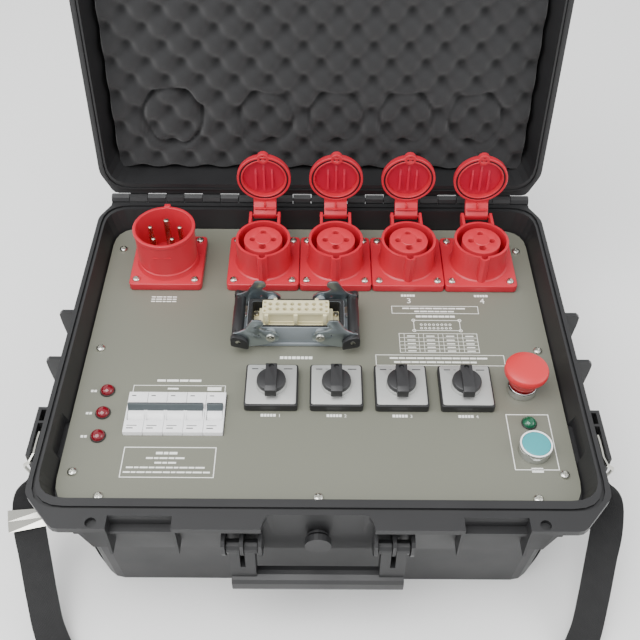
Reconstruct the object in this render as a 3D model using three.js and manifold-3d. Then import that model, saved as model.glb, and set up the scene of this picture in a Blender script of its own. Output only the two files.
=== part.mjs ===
// Four-channel motor power controller in a moulded equipment case, millimetres, +Z up.
// Origin: centre of the base's flat underside. +Y points to the hinge, +X to the right-hand latch.
import * as THREE from 'three';
import { mergeGeometries, mergeVertices } from 'three/addons/utils/BufferGeometryUtils.js';
import Module from 'manifold-3d';

const wasm = await Module();
wasm.setup();

// ---- driving dimensions -------------------------------------------------------------------
const GAP = 0.3; // clearance between touching pieces
const RIM_Z = 155; // top face of the base's rim
const PANEL_Z = 132; // top face of the control panel
const PANEL_T = 3;
const SMALL_R = 3; // corner radii up to this are drawn as one bevel
const WIDE_CORNER = 5; // segments in the corners of the case's opening, the panel and the lid
const WALL = 3.4;
const FLANGE = { x: 239.7, front: -209, back: 192.6, thick: 6, r: 5 };
const CAVITY = { x: 231.5, y: 181, panelX: 225, panelY: 176.4, r: 26 };
const GROOVE = { x: 234.6, front: -189.6, back: 186.4, half: 1.1, deep: 2.4, r: 28 };
const BODY = { x: 228.5, front: -182, back: 182, footInset: 11 };
const SHOULDER = { x: 235.4, front: -197, back: 188, bottom: 98 }; // skirt that carries latches and handle
const LID_H = 60; // height of the lid above the rim
const HINGE = { y: 199.2, z: 155.3, r: 5.5, pin: 2, pitch: 20, reach: 230 };
const LID_OPEN = THREE.MathUtils.degToRad(97.7);
const LATCH = { x: 142.8, halfW: 24.5, y: -208, z: 172, released: THREE.MathUtils.degToRad(70) };
const HANDLE = { y: -206.5, z: 124, ribs: [47, 62, 77] };
const VALVE = { z: 125, r: 7.1 };
const SOCKET = { x: [-58.6, 16.4, 91.4, 166.4], y: 116.1, side: 74.4, rim: 40, r: 28, bore: 25.4 };
const FLAP = { y: 43.1, z: 34, open: THREE.MathUtils.degToRad(90) }; // hinge, from the socket's centre
const INLET = { x: -158.9, y: 116.1, rim: 55, r: 31.7, bore: 28.4 };
const CONNECTOR = { x: -22.8, y: 24.2, pivotX: 23.7, pivotZ: 20, armY: 25 };
const SWITCH = { x: [-44, 16, 76, 136], y: -51, side: 49, plate: 46 };
const ESTOP = { x: 189, y: -48.3 };
const START = { x: 190, y: -116.8 };
const GREEN_LAMP = [190, -87.5];
const RED_LAMPS = [[-196.4, -53.3], [-196.4, -78.9], [-196.4, -104.5]];
const BREAKER = { x: -174.9, back: -57.1, front: -102.6, module: 17.9, rise: 4.5, depth: 70 };
const STRAP = { width: 28, thick: 1.8 };

// ---- geometry helpers ---------------------------------------------------------------------
function toSolid(geometry) {
  const bare = geometry.clone();
  bare.deleteAttribute('normal');
  bare.deleteAttribute('uv');
  const merged = mergeVertices(bare, 1e-4);
  const tri = [];
  const ids = merged.index.array;
  for (let i = 0; i < ids.length; i += 3) {
    const [a, b, c] = [ids[i], ids[i + 1], ids[i + 2]];
    if (a !== b && b !== c && c !== a) tri.push(a, b, c);
  }
  const mesh = new wasm.Mesh({
    numProp: 3,
    vertProperties: new Float32Array(merged.attributes.position.array),
    triVerts: new Uint32Array(tri),
  });
  return new wasm.Manifold(mesh);
}

function toGeometry(solid) {
  const mesh = solid.getMesh();
  const geometry = new THREE.BufferGeometry();
  geometry.setAttribute('position', new THREE.BufferAttribute(new Float32Array(mesh.vertProperties), 3));
  geometry.setIndex(new THREE.BufferAttribute(new Uint32Array(mesh.triVerts), 1));
  return geometry;
}

function join(...geometries) {
  return toGeometry(geometries.map(toSolid).reduce((a, b) => a.add(b)));
}

function cut(base, ...tools) {
  return toGeometry(tools.map(toSolid).reduce((a, b) => a.subtract(b), toSolid(base)));
}

function box(x0, x1, y0, y1, z0, z1) {
  const geometry = new THREE.BoxGeometry(x1 - x0, y1 - y0, z1 - z0);
  return geometry.translate((x0 + x1) / 2, (y0 + y1) / 2, (z0 + z1) / 2);
}

// Cylinder on a vertical axis.
function post(x, y, z0, z1, r, sides = 16) {
  const geometry = new THREE.CylinderGeometry(r, r, z1 - z0, sides);
  return geometry.rotateX(Math.PI / 2).translate(x, y, (z0 + z1) / 2);
}

function rodX(x0, x1, y, z, r, sides = 12) {
  const geometry = new THREE.CylinderGeometry(r, r, x1 - x0, sides);
  return geometry.rotateZ(Math.PI / 2).translate((x0 + x1) / 2, y, z);
}

function rodY(y0, y1, x, z, r, sides = 12) {
  return new THREE.CylinderGeometry(r, r, y1 - y0, sides).translate(x, (y0 + y1) / 2, z);
}

// Solid of revolution about a vertical axis; the profile is [radius, height] pairs from axis to axis.
function turned(x, y, z, profile, sides = 32) {
  const points = profile.map(([r, h]) => new THREE.Vector2(r, h));
  return new THREE.LatheGeometry(points, sides).rotateX(Math.PI / 2).translate(x, y, z);
}

// Closed outline through the corners, each rounded by r.
function outline(corners, r) {
  const shape = new THREE.Shape();
  const count = corners.length;
  corners.forEach((corner, i) => {
    const here = new THREE.Vector2(...corner);
    const before = new THREE.Vector2(...corners[(i + count - 1) % count]);
    const after = new THREE.Vector2(...corners[(i + 1) % count]);
    const reach = Math.min(r, here.distanceTo(before) * 0.49, here.distanceTo(after) * 0.49);
    const start = here.clone().add(before.sub(here).setLength(reach));
    const end = here.clone().add(after.sub(here).setLength(reach));
    const first = r > 0 ? start : here;
    if (i === 0) shape.moveTo(first.x, first.y);
    else shape.lineTo(first.x, first.y);
    if (r > 0) shape.quadraticCurveTo(here.x, here.y, end.x, end.y);
  });
  shape.closePath();
  return shape;
}

function rectangle(halfX, y0, y1, r) {
  return outline([[-halfX, y0], [halfX, y0], [halfX, y1], [-halfX, y1]], r);
}

// Rectangle with the four corners cut off, wider cuts at the front.
function chamfered(halfX, front, back, r = 9) {
  const [fx, fy, bx, by] = [28, 32, 13, 25];
  return outline([
    [-halfX, front + fy], [-halfX + fx, front], [halfX - fx, front], [halfX, front + fy],
    [halfX, back - by], [halfX - bx, back], [-halfX + bx, back], [-halfX, back - by],
  ], r);
}

function prism(shape, z0, z1, curveSegments = 2) {
  const options = { depth: z1 - z0, bevelEnabled: false, curveSegments };
  return new THREE.ExtrudeGeometry(shape, options).translate(0, 0, z0);
}

// Prism whose outline shrinks by the given insets from its top face to its bottom face.
function drafted(shape, z0, z1, halfX, halfY, insetX, insetY, curveSegments = 2) {
  const geometry = prism(shape, z0, z1, curveSegments);
  const at = geometry.attributes.position;
  for (let i = 0; i < at.count; i += 1) {
    const down = (z1 - at.getZ(i)) / (z1 - z0);
    at.setX(i, at.getX(i) * (1 - (down * insetX) / halfX));
    at.setY(i, at.getY(i) * (1 - (down * insetY) / halfY));
  }
  return geometry;
}

// Plate standing in the XZ plane between y0 and y1.
function plateXZ(corners, r, y0, y1) {
  const flat = new THREE.ExtrudeGeometry(outline(corners, r), {
    depth: y1 - y0, bevelEnabled: false, curveSegments: r > SMALL_R ? 2 : 1,
  });
  return flat.rotateX(Math.PI / 2).translate(0, y1, 0);
}

// Plate standing in the YZ plane between x0 and x1; its corners are [y, z] pairs.
function plateYZ(corners, r, x0, x1) {
  const flat = new THREE.ExtrudeGeometry(outline(corners, r), {
    depth: x1 - x0, bevelEnabled: false, curveSegments: r > SMALL_R ? 2 : 1,
  });
  return flat.rotateX(Math.PI / 2).rotateZ(Math.PI / 2).translate(x0, 0, 0);
}

// Tube along a curve.
function tube(curve, r, sides, steps) {
  const ring = new THREE.Shape();
  ring.absarc(0, 0, r, 0, Math.PI * 2, false);
  return new THREE.ExtrudeGeometry(ring, {
    extrudePath: curve, steps, curveSegments: sides, bevelEnabled: false,
  });
}

// Mirror image, with its faces turned to point outwards again.
function mirrored(geometry, sx, sz) {
  const copy = (geometry.index ? geometry.toNonIndexed() : geometry.clone()).scale(sx, 1, sz);
  const at = copy.attributes.position.array;
  for (let i = 0; i < at.length; i += 9) {
    for (let k = 3; k < 6; k += 1) [at[i + k], at[i + k + 3]] = [at[i + k + 3], at[i + k]];
  }
  return copy;
}

const mirrorX = (geometry) => mirrored(geometry, -1, 1);
const both = (make) => [-1, 1].map(make);

// ---- the scene graph ----------------------------------------------------------------------
const root = new THREE.Group();
const lid = new THREE.Group();
lid.position.set(0, HINGE.y, HINGE.z);
lid.rotation.x = -LID_OPEN;
root.add(lid);

const COLOURS = {
  case: ['#454547', 0.62, 0], rubber: ['#1c1c1d', 0.85, 0], foam: ['#3a3a3b', 0.95, 0],
  steel: ['#b9bcbd', 0.35, 1], zinc: ['#9aa1a4', 0.45, 1], panel: ['#8f9188', 0.5, 0.1],
  red: ['#c5303b', 0.42, 0], brass: ['#c9b27a', 0.3, 1], cream: ['#d9d3b0', 0.55, 0],
  black: ['#2b2b2c', 0.5, 0], silver: ['#b7b8b4', 0.4, 0.3], white: ['#f1f2ef', 0.45, 0],
  grey: ['#697074', 0.5, 0], teal: ['#6fb9be', 0.4, 0], lampRed: ['#8e0f2d', 0.15, 0],
  lampGreen: ['#1f6b4c', 0.15, 0], webbing: ['#222223', 0.9, 0], housing: ['#8b9092', 0.55, 0.2],
};

function add(name, geometry, colour, parent = root) {
  const [color, roughness, metalness] = COLOURS[colour];
  const mesh = new THREE.Mesh(geometry, new THREE.MeshStandardMaterial({ color, roughness, metalness }));
  mesh.name = name;
  parent.add(mesh);
  return mesh;
}

// Puts a piece drawn closed, in case coordinates, into the lid's own frame.
const inLid = (geometry) => geometry.translate(0, -HINGE.y, -HINGE.z);

// ---- case ---------------------------------------------------------------------------------
// A ring that follows the seal line, between two heights.
function sealRing(grow, z0, z1) {
  const g = GROOVE;
  const outer = prism(rectangle(g.x + grow, g.front - grow, g.back + grow, g.r), z0, z1, WIDE_CORNER);
  const inner = prism(rectangle(g.x - grow, g.front + grow, g.back - grow, g.r), z0 - 1, z1 + 1, WIDE_CORNER);
  return cut(outer, inner);
}

// Alternate hinge knuckles: start 0 gives the base's, start 1 the lid's.
function knuckles(start, side) {
  const list = [];
  const count = Math.floor((2 * HINGE.reach) / HINGE.pitch);
  for (let i = start; i < count; i += 2) {
    const x0 = -HINGE.reach + i * HINGE.pitch + GAP;
    const x1 = x0 + HINGE.pitch - 2 * GAP;
    const web = side < 0
      ? box(x0, x1, BODY.back - 3, HINGE.y, HINGE.z - 5, HINGE.z - 1.4)
      : box(x0, x1, BODY.back - 3, HINGE.y, HINGE.z + 1.4, HINGE.z + 5);
    list.push(join(rodX(x0, x1, HINGE.y, HINGE.z, HINGE.r, 8), web));
  }
  return list;
}

function sideRib(side, y) {
  const rib = plateXZ([[220, 30], [246, 48], [254.5, 140], [254.5, 152], [222, 152]], 3, y - 2, y + 2);
  return side > 0 ? rib : mirrorX(rib);
}

// Two-window bracket that holds the strap ring, outside the rim.
function strapBracket(side) {
  const bar = box(246, 249.4, -137, -85.5, 120, 150);
  const webs = [[-88.5, -85.5, 120, 150], [-103, -100.5, 120, 150], [-137, -134, 120, 137]]
    .map(([y0, y1, z0, z1]) => box(224, 248, y0, y1, z0, z1));
  const bracket = join(bar, ...webs);
  return side > 0 ? bracket : mirrorX(bracket);
}

function strikerAndCheeks(side) {
  const x = side * LATCH.x;
  const cheeks = [-28.6, 26.2].map((dx) => box(x + dx, x + dx + 2.4, -208, BODY.front + 4, 112, RIM_Z - 2));
  const ledge = box(x - 27, x + 27, -203.5, BODY.front + 4, 137, 141);
  return [...cheeks, ledge];
}

function handleRibs() {
  const corners = [[-180, 140], [-213, 137], [-213, 119], [-204, 106], [-180, 98]];
  return HANDLE.ribs.flatMap((x) => both((s) => plateYZ(corners, 3, s * x - 1.5, s * x + 1.5)));
}

// Everything that is moulded solid on the base before it is hollowed.
function baseBlock() {
  const b = BODY;
  const outer = drafted(chamfered(b.x, b.front, b.back), 0, RIM_Z - 1, b.x, b.back, b.footInset, 9);
  const h = SHOULDER;
  const shoulder = drafted(chamfered(h.x, h.front, h.back), h.bottom, RIM_Z - 1, h.x, -h.front, 9, 3);
  const hollow = [[-216, -173], [-112, -52], [52, 112], [173, 216]].map(
    ([x0, x1]) => box(x0, x1, h.front + 3, b.front, h.bottom - 1, RIM_Z - FLANGE.thick - 2),
  );
  const flange = prism(chamfered(FLANGE.x, FLANGE.front, FLANGE.back, FLANGE.r), RIM_Z - FLANGE.thick, RIM_Z);
  const latchNotch = both((s) => {
    const x = s * LATCH.x;
    return box(x - 26, x + 26, -212, h.front, h.bottom - 1, RIM_Z + 1);
  });
  return join(
    cut(join(outer, cut(shoulder, ...hollow), flange), ...latchNotch, frontPocket(h.bottom - 1, RIM_Z + 1)),
    ...knuckles(0, -1), ...both((s) => sideRib(s, 30)), ...both((s) => sideRib(s, -30)),
    ...both(strapBracket), ...handleRibs(), ...both(strikerAndCheeks).flat(),
  );
}

// Finger space in the rim above the handle.
function frontPocket(z0, z1) {
  return prism(outline([[-42, -195.4], [42, -195.4], [47, -212], [-47, -212]], 5), z0, z1);
}

function caseBase() {
  const c = CAVITY;
  const seat = PANEL_Z - PANEL_T - GAP;
  const lower = drafted(rectangle(223.4, -174.6, 174.6, c.r), 4, PANEL_Z, 223.4, 174.6, 11, 9);
  const upper = drafted(
    rectangle(c.x, -c.y, c.y, c.r), seat, RIM_Z + 0.01, c.x, c.y, c.x - c.panelX, c.y - c.panelY, WIDE_CORNER,
  );
  const wallRecess = both((s) => {
    const corners = [[200, -82], [229.6, -88], [229.6, -128], [200, -134]];
    return prism(outline(corners.map(([x, y]) => [s * x, y]), 2), seat, RIM_Z - 8);
  });
  return cut(
    baseBlock(), lower, upper, ...wallRecess,
    ...both((s) => post(s * 181, -203.4, RIM_Z - 4, RIM_Z + 1, 4.6, 12)),
    sealRing(GROOVE.half, RIM_Z - GROOVE.deep, RIM_Z + 1),
    rodX(-240, 240, HINGE.y, HINGE.z, HINGE.pin + 2.5 * GAP, 6),
    rodY(-215, -170, 0, VALVE.z, VALVE.r + GAP, 16),
    ...both((s) => rodX(s * 62 - 20, s * 62 + 20, HANDLE.y, HANDLE.z, 2.5 + GAP, 12)),
  );
}

// Draft is drawn narrow end down, so the lid's shapes are turned over.
const upsideDown = (geometry, top) => mirrored(geometry, 1, -1).translate(0, 0, top);

function lidShell() {
  const rim = RIM_Z + 2 * GAP;
  const top = rim + LID_H;
  const c = CAVITY;
  const outer = drafted(chamfered(SHOULDER.x, SHOULDER.front, SHOULDER.back), 0, LID_H, 235.4, 192, 9, 8);
  const hollow = drafted(rectangle(c.x, -c.y, c.y, c.r), WALL, LID_H + 0.1, c.x, c.y, 9, 8, WIDE_CORNER);
  const flange = prism(chamfered(FLANGE.x, FLANGE.front, FLANGE.back, FLANGE.r), rim, rim + FLANGE.thick);
  const earCorners = [[-186, 186], [-212, 180], [-213, 166], [-190, 163]];
  const ears = both((s) => [-29.5, 25.5].map((dx) => {
    const x = s * LATCH.x + dx;
    return plateYZ(earCorners, 3, x, x + 4);
  })).flat();
  const ribs = [-150, -75, 0, 75, 150].map((x) => box(x - 5, x + 5, -150, 140, top - 2, top + 2));
  return cut(
    join(upsideDown(outer, top), flange, ...knuckles(1, 1), ...ears, ...ribs),
    upsideDown(hollow, top), frontPocket(rim - 1, rim + 22),
    sealRing(GROOVE.half, rim - 1, rim + GROOVE.deep),
    rodX(-240, 240, HINGE.y, HINGE.z, HINGE.pin + 2.5 * GAP, 6),
    ...both((s) => box(s * LATCH.x - 25.2, s * LATCH.x + 25.2, -214, -202.6, rim - 1, rim + 22)),
    ...both((s) => rodX(s * LATCH.x - 35, s * LATCH.x + 35, LATCH.y, LATCH.z, 2 + GAP, 8)),
  );
}

// Foam block glued in the lid, relieved where the tallest devices stand.
function lidFoam() {
  const block = drafted(rectangle(225.6, -172, 176, 24), 0, 33.5, 225.6, 176, 4, 4.2, WIDE_CORNER);
  const face = RIM_Z + 22.4;
  const raised = upsideDown(block, face + 33.5);
  return cut(
    raised,
    post(INLET.x, INLET.y, face - 1, PANEL_Z + 60, 37, 20),
    box(-94, 202, 80, 166.9, face - 1, PANEL_Z + 58),
    box(CONNECTOR.x - 64, CONNECTOR.x + 64, CONNECTOR.y - 36, CONNECTOR.y + 36, face - 1, PANEL_Z + 60),
  );
}

// Latch drawn latched, in case coordinates: its plate hooks under the ledge, its pin turns in the ears.
function latch(side) {
  const x0 = side * LATCH.x - LATCH.halfW;
  const x1 = side * LATCH.x + LATCH.halfW;
  const plate = plateYZ([
    [-205.5, 176], [-212, 176], [-213.5, 150], [-212, 131.5], [-199.5, 131.5], [-199.5, 136.4],
    [-206, 136.4], [-205.5, 150],
  ], 1.5, x0, x1);
  return join(
    plate, rodX(x0, x1, LATCH.y, LATCH.z, 4.5, 12), rodX(x0 - 4.5, x1 + 4.5, LATCH.y, LATCH.z, 2, 8),
  );
}

function valveBody() {
  const tube = cut(rodY(-201, -177, 0, VALVE.z, VALVE.r, 16), rodY(-202, -171, 0, VALVE.z, 3.6, 8));
  return join(tube, cut(rodY(-199, -197 - GAP, 0, VALVE.z, 9.6, 16), rodY(-202, -171, 0, VALVE.z, 3.6, 8)));
}

function valveKnob() {
  return join(rodY(-207, -201 - GAP, 0, VALVE.z, 11, 20), rodY(-202, -178, 0, VALVE.z, 3, 8));
}

// Carrying handle, hanging: two arms that straddle the middle ribs, a grip, and the pins they turn on.
function frontHandle() {
  const arm = (s) => join(
    rodX(s * 62 - 12.5, s * 62 + 12.5, HANDLE.y, HANDLE.z, 6, 12),
    plateYZ([[-212, 128], [-201, 124], [-203, 72], [-216, 72]], 2, s * 62 - 10.5, s * 62 + 10.5),
  );
  const grip = plateYZ([[-203, 68], [-219, 68], [-219, 88], [-203, 88]], 6, -72.5, 72.5);
  return join(
    cut(join(...both(arm), grip), ...both((s) => box(s * 62 - 2.1, s * 62 + 2.1, -216, -196, 102, 140))),
    ...both((s) => rodX(s * 62 - 16, s * 62 + 16, HANDLE.y, HANDLE.z, 2.5, 10)),
  );
}

// ---- control panel ------------------------------------------------------------------------
const corners4 = (x, y, half) => [[-1, -1], [1, -1], [1, 1], [-1, 1]].map(([i, k]) => [x + i * half, y + k * half]);

function frontPanel() {
  const sheet = prism(rectangle(224.2, -175.6, 175.6, 28), PANEL_Z - PANEL_T, PANEL_Z, WIDE_CORNER);
  const through = (x, y, r, sides = 12) => post(x, y, PANEL_Z - 4, PANEL_Z + 1, r, sides);
  const b = BREAKER;
  return cut(
    sheet,
    through(INLET.x, INLET.y, 27),
    ...SOCKET.x.map((x) => through(x, SOCKET.y, 25)),
    box(CONNECTOR.x - 42.5, CONNECTOR.x + 42.5, CONNECTOR.y - 15.5, CONNECTOR.y + 15.5, 120, 140),
    ...SWITCH.x.map((x) => through(x, SWITCH.y, 10)),
    through(ESTOP.x, ESTOP.y, 11.6), through(START.x, START.y, 11.6),
    ...[GREEN_LAMP, ...RED_LAMPS].map(([x, y]) => through(x, y, 5.4, 8)),
    box(b.x - GAP, b.x + 5 * b.module + 2 * GAP, b.front - GAP, b.back + GAP, 120, 140),
  );
}

// Frame under the panel that takes its screws, with the breakers' mounting rail hung from it.
function panelFrame() {
  const top = PANEL_Z - PANEL_T - GAP;
  const rim = cut(
    prism(rectangle(221, -172.4, 172.4, 28), top - 3, top),
    prism(rectangle(206, -157.5, 157.5, 14), top - 4, top + 1),
  );
  const mid = (BREAKER.front + BREAKER.back) / 2;
  const rail = PANEL_Z - BREAKER.depth + 5.4;
  const bracket = plateXZ(
    [[-215, top - 1], [-215, top - 3], [-188, rail - 4], [-188, rail - 7.6], [-72, rail - 7.6], [-72, rail - 5.4],
      [-185, rail - 5.4], [-185, rail - 3], [-209, top - 1]], 0, mid - 15, mid + 15);
  return join(rim, bracket, hatRail(-184, -74, mid, rail));
}

// Top-hat mounting rail, 35 mm wide.
function hatRail(x0, x1, y, z) {
  return plateYZ([
    [y - 17.5, z], [y - 13.5, z], [y - 13.5, z - 6.3], [y + 13.5, z - 6.3], [y + 13.5, z], [y + 17.5, z],
    [y + 17.5, z - 1.2], [y + 14.7, z - 1.2], [y + 14.7, z - 7.5], [y - 14.7, z - 7.5], [y - 14.7, z - 1.2],
    [y - 17.5, z - 1.2],
  ], 0, x0, x1);
}

// ---- mains inlet and motor sockets --------------------------------------------------------
function squareFlange(x, y, thick) {
  const half = SOCKET.side / 2;
  const outlineAt = outline(corners4(x, y, half), 5);
  return prism(outlineAt, PANEL_Z + GAP, PANEL_Z + thick);
}

function inletHousing() {
  const { x, y, rim, r, bore } = INLET;
  const z = PANEL_Z;
  const barrel = turned(x, y, z, [
    [0, -30], [25.5, -30], [25.5, 2], [31, 2], [31, 13], [29.8, 14], [30.6, rim - 5], [r, rim - 4], [r, rim],
    [0, rim],
  ], 20);
  const nub = box(x - 3.5, x + 3.5, y + 28, y + 34.5, z + rim - 16, z + rim + 1.5);
  return cut(
    join(squareFlange(x, y, 8.9), barrel, nub),
    post(x, y, z + 8, z + rim + 2, bore, 20), post(x, y, z - 31, z + 9, 20.3, 12),
  );
}

function socketHousing(x) {
  const { y, rim, r, bore } = SOCKET;
  const z = PANEL_Z;
  const barrel = turned(x, y, z, [[0, -30], [23.8, -30], [23.8, 2], [r + 0.6, 2], [r, rim], [0, rim]], 20);
  const keyway = post(x, y - r + 1.5, z + 8, z + rim, 5.6, 8);
  const ears = both((s) => {
    const x0 = x + s * 15 - 1.5;
    return plateYZ([[y + 24, z + 22], [y + 24, z + 39], [y + 44, z + 39], [y + 47.5, z + 34],
      [y + 44, z + 29]], 2, x0, x0 + 3);
  });
  const pin = rodX(x - 15, x + 15, y + FLAP.y, z + FLAP.z, 1.6, 8);
  return cut(
    join(squareFlange(x, y, 8.9), barrel, keyway, ...ears, pin),
    post(x, y, z + 5, z + rim + 1, bore, 20), post(x, y - r + 1.5, z + 12, z + rim + 1, 3.6, 8),
    post(x, y, z - 31, z + 6, 20.8, 12),
  );
}

const socketHoles = (x) => [0, 1, 2, 3].map((i) => {
  const angle = -Math.PI / 2 + (i * Math.PI) / 2;
  return [x + 10.8 * Math.cos(angle), SOCKET.y + 10.8 * Math.sin(angle), i === 0 ? 3.3 : 2.5];
});

const inletPinPlaces = () => [0, 1, 2, 3, 4].map((i) => {
  const angle = Math.PI / 2 + (i * 2 * Math.PI) / 5;
  return [INLET.x + 16 * Math.cos(angle), INLET.y + 16 * Math.sin(angle), i === 0 ? 3.2 : 2.4];
});

// Insulating insert of a socket, with the holes of its sleeve contacts.
function socketInsert(x) {
  return cut(
    turned(x, SOCKET.y, PANEL_Z, [[0, -40], [19.7, -40], [19.7, 38.6], [0, 38.6]], 20),
    ...socketHoles(x).map(([hx, hy, r]) => post(hx, hy, PANEL_Z + 6, PANEL_Z + 40, r, 8)),
  );
}

// Insert of the mains inlet with its five contact pins moulded in.
const inletInsert = () => join(
  post(INLET.x, INLET.y, PANEL_Z - 40, PANEL_Z + 7.5, 19.3, 20),
  ...inletPinPlaces().map(([x, y, r]) => turned(x, y, PANEL_Z, [
    [0, -48], [r, -48], [r, 50.5], [0, 50.5],
  ], 8)),
);

// Flap drawn closed, with its hinge axis at the origin; its cap sits in front of the axis.
function flap() {
  const lift = SOCKET.rim - FLAP.z + GAP; // from the axis up to the barrel's rim
  const y = -FLAP.y;
  const cap = turned(0, y, lift, [[0, 0], [27.9, 0], [27.9, 5], [25.5, 8], [0, 9]], 20);
  const bump = post(0, y - 25.5, lift, lift + 6, 6, 8);
  const arm = join(
    plateYZ([
      [-20, lift + 0.5], [-20, lift + 7], [-10, lift + 6], [3.5, 2], [3.5, -3], [-3, -3], [-13.2, lift + 0.4],
    ], 1.5, -12, 12),
    rodX(-13, 13, 0, 0, 4, 10),
  );
  return cut(
    join(cap, bump, arm),
    post(0, y, lift - 1, lift + 5.5, 23, 16), rodX(-20, 20, 0, 0, 1.9, 8),
  );
}

// ---- sixteen-way connector with two locking levers ----------------------------------------
function connectorHousing() {
  const { x, y, pivotX, pivotZ, armY } = CONNECTOR;
  const z = PANEL_Z;
  const foot = prism(outline([[x - 56, y - 21], [x + 56, y - 21], [x + 56, y + 21], [x - 56, y + 21]], 4),
    z + GAP, z + 4);
  const wall = box(x - 47, x + 47, y - 19, y + 19, z + 2, z + 26);
  const bosses = both((sx) => join(
    rodY(y - 24.6, y + 24.6, x + sx * pivotX, z + pivotZ, 4.6, 8),
    rodY(y - armY - 2.5, y + armY + 2.5, x + sx * pivotX, z + pivotZ, 2.4, 8),
    rodY(y - armY - 4, y - armY - 2.4, x + sx * pivotX, z + pivotZ, 4.8, 8),
    rodY(y + armY + 2.4, y + armY + 4, x + sx * pivotX, z + pivotZ, 4.8, 8),
  ));
  return cut(
    join(foot, wall, ...bosses), box(x - 43.5, x + 43.5, y - 16.2, y + 16.2, z - 1, z + 28),
  );
}

const contactGrid = () => [0, 1, 2, 3, 4, 5, 6, 7].flatMap((i) => both(
  (row) => [CONNECTOR.x + (i - 3.5) * 7, CONNECTOR.y + row * 3.2],
));

function connectorInsert() {
  const { x, y } = CONNECTOR;
  const z = PANEL_Z;
  const base = box(x - 42, x + 42, y - 15.4, y + 15.4, z - 14, z + 12);
  const tower = box(x - 32, x + 32, y - 8.4, y + 8.4, z + 11, z + 34.6);
  const ribs = [-29, 0, 29].map((dx) => box(x + dx - 1.6, x + dx + 1.6, y - 11, y - 8, z + 11, z + 31));
  const keys = [-20, 20].map((dx) => box(x + dx - 1.7, x + dx + 1.7, y + 8, y + 12, z + 11, z + 34.6));
  return cut(
    join(base, tower, ...ribs, ...keys),
    ...contactGrid().map(([cx, cy]) => post(cx, cy, z + 24, z + 36, 1.9, 4)),
  );
}

// Left-hand locking lever with the pivot at the origin: two hooked plates, a bridge and a moulded grip.
function lever() {
  const corners = [
    [-36, -7.5], [-19.7, -13.5], [-2, -9], [7.5, -3], [7.5, 4], [1, 7.6], [-8, 8], [-11.3, 13.2], [-5.6, 15.6],
    [-6.4, 22], [-16.7, 23], [-28, 6], [-36, 5],
  ];
  const capCorners = [[-38, -8], [-22, -12.5], [-24, 0], [-35, 5.5], [-38, 3]];
  const { armY } = CONNECTOR;
  const plates = both((s) => {
    const y0 = s > 0 ? armY : -armY - 2;
    return join(
      cut(plateXZ(corners, 1.6, y0, y0 + 2), rodY(y0 - 1, y0 + 3, 0, 0, 2.9, 10)),
      plateXZ(capCorners, 2.5, s > 0 ? armY + 1 : -armY - 7, s > 0 ? armY + 7 : -armY - 1),
    );
  });
  return join(...plates, plateXZ([[-37.5, -7], [-26, -7], [-26, 5], [-37.5, 7]], 3.5, -armY - 1, armY + 1));
}

// ---- cam switches -------------------------------------------------------------------------
const square = (x, y, half, r) => outline(corners4(x, y, half), r);

// Black base on the panel and the cam stack behind it, joined through the panel's hole.
function switchBase(x) {
  const y = SWITCH.y;
  const under = PANEL_Z - PANEL_T - GAP;
  return cut(
    join(
      prism(square(x, y, SWITCH.side / 2, 3), PANEL_Z + GAP, PANEL_Z + 8.4),
      post(x, y, under - 1, PANEL_Z + 1, 9, 12),
      box(x - 22, x + 22, y - 22, y + 22, under - 44, under),
    ),
    post(x, y, PANEL_Z - 8, PANEL_Z + 10, 5.5, 12),
  );
}

function switchPlate(x) {
  return cut(
    join(
      prism(square(x, SWITCH.y, SWITCH.plate / 2, 2.5), PANEL_Z + 8.7, PANEL_Z + 9.5),
      post(x, SWITCH.y, PANEL_Z + 9, PANEL_Z + 12.8, 13.4, 24),
    ),
    post(x, SWITCH.y, PANEL_Z + 8, PANEL_Z + 14, 5, 12),
  );
}

// Knob with its spindle at the origin; the bar points to the rear of the panel at rest.
function switchKnob() {
  const skirt = turned(0, 0, 0, [[0, 13.1], [13.6, 13.1], [13.4, 17], [0, 17.6]], 24);
  const bar = plateYZ([[-17.8, 13.4], [-17.3, 22.8], [14.6, 22.8], [15.6, 13.4]], 1, -5.2, 5.2);
  return cut(join(skirt, bar, post(0, 0, -6, 14, 4, 10)), post(0, 11.4, 19, 24, 2.6, 10));
}

// ---- push-buttons and lamps ---------------------------------------------------------------
// Ring on the panel, threaded barrel through it and contact block behind, as one fixed unit.
function buttonBody({ x, y }, r, bore, height) {
  const under = PANEL_Z - PANEL_T - GAP;
  return cut(
    join(
      post(x, y, PANEL_Z + GAP, PANEL_Z + height, r, 24), post(x, y, under - 1, PANEL_Z + 1, 10.9, 16),
      post(x, y, under - 9, under, 14, 16), box(x - 14, x + 14, y - 18, y + 18, under - 42, under - 8),
    ),
    post(x, y, PANEL_Z - 16, PANEL_Z + height + 1, bore, 20),
  );
}

const estopButton = () => turned(0, 0, PANEL_Z, [
  [0, -10], [8, -10], [8, 12.4], [13.4, 12.4], [15.5, 20], [20, 26], [19, 31], [13, 33.6], [0, 34.4],
], 20);

const startButton = () => turned(0, 0, PANEL_Z, [
  [0, -10], [9, -10], [9, 4], [12.6, 4], [12.6, 10.6], [11.9, 11.2], [0, 11.5],
], 20);

const lamp = (x, y) => turned(x, y, PANEL_Z, [
  [0, -24], [4.8, -24], [4.8, GAP], [7, GAP], [7, 1.8], [6.2, 2.4], [4.6, 4.8], [0, 6],
], 12);

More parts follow.
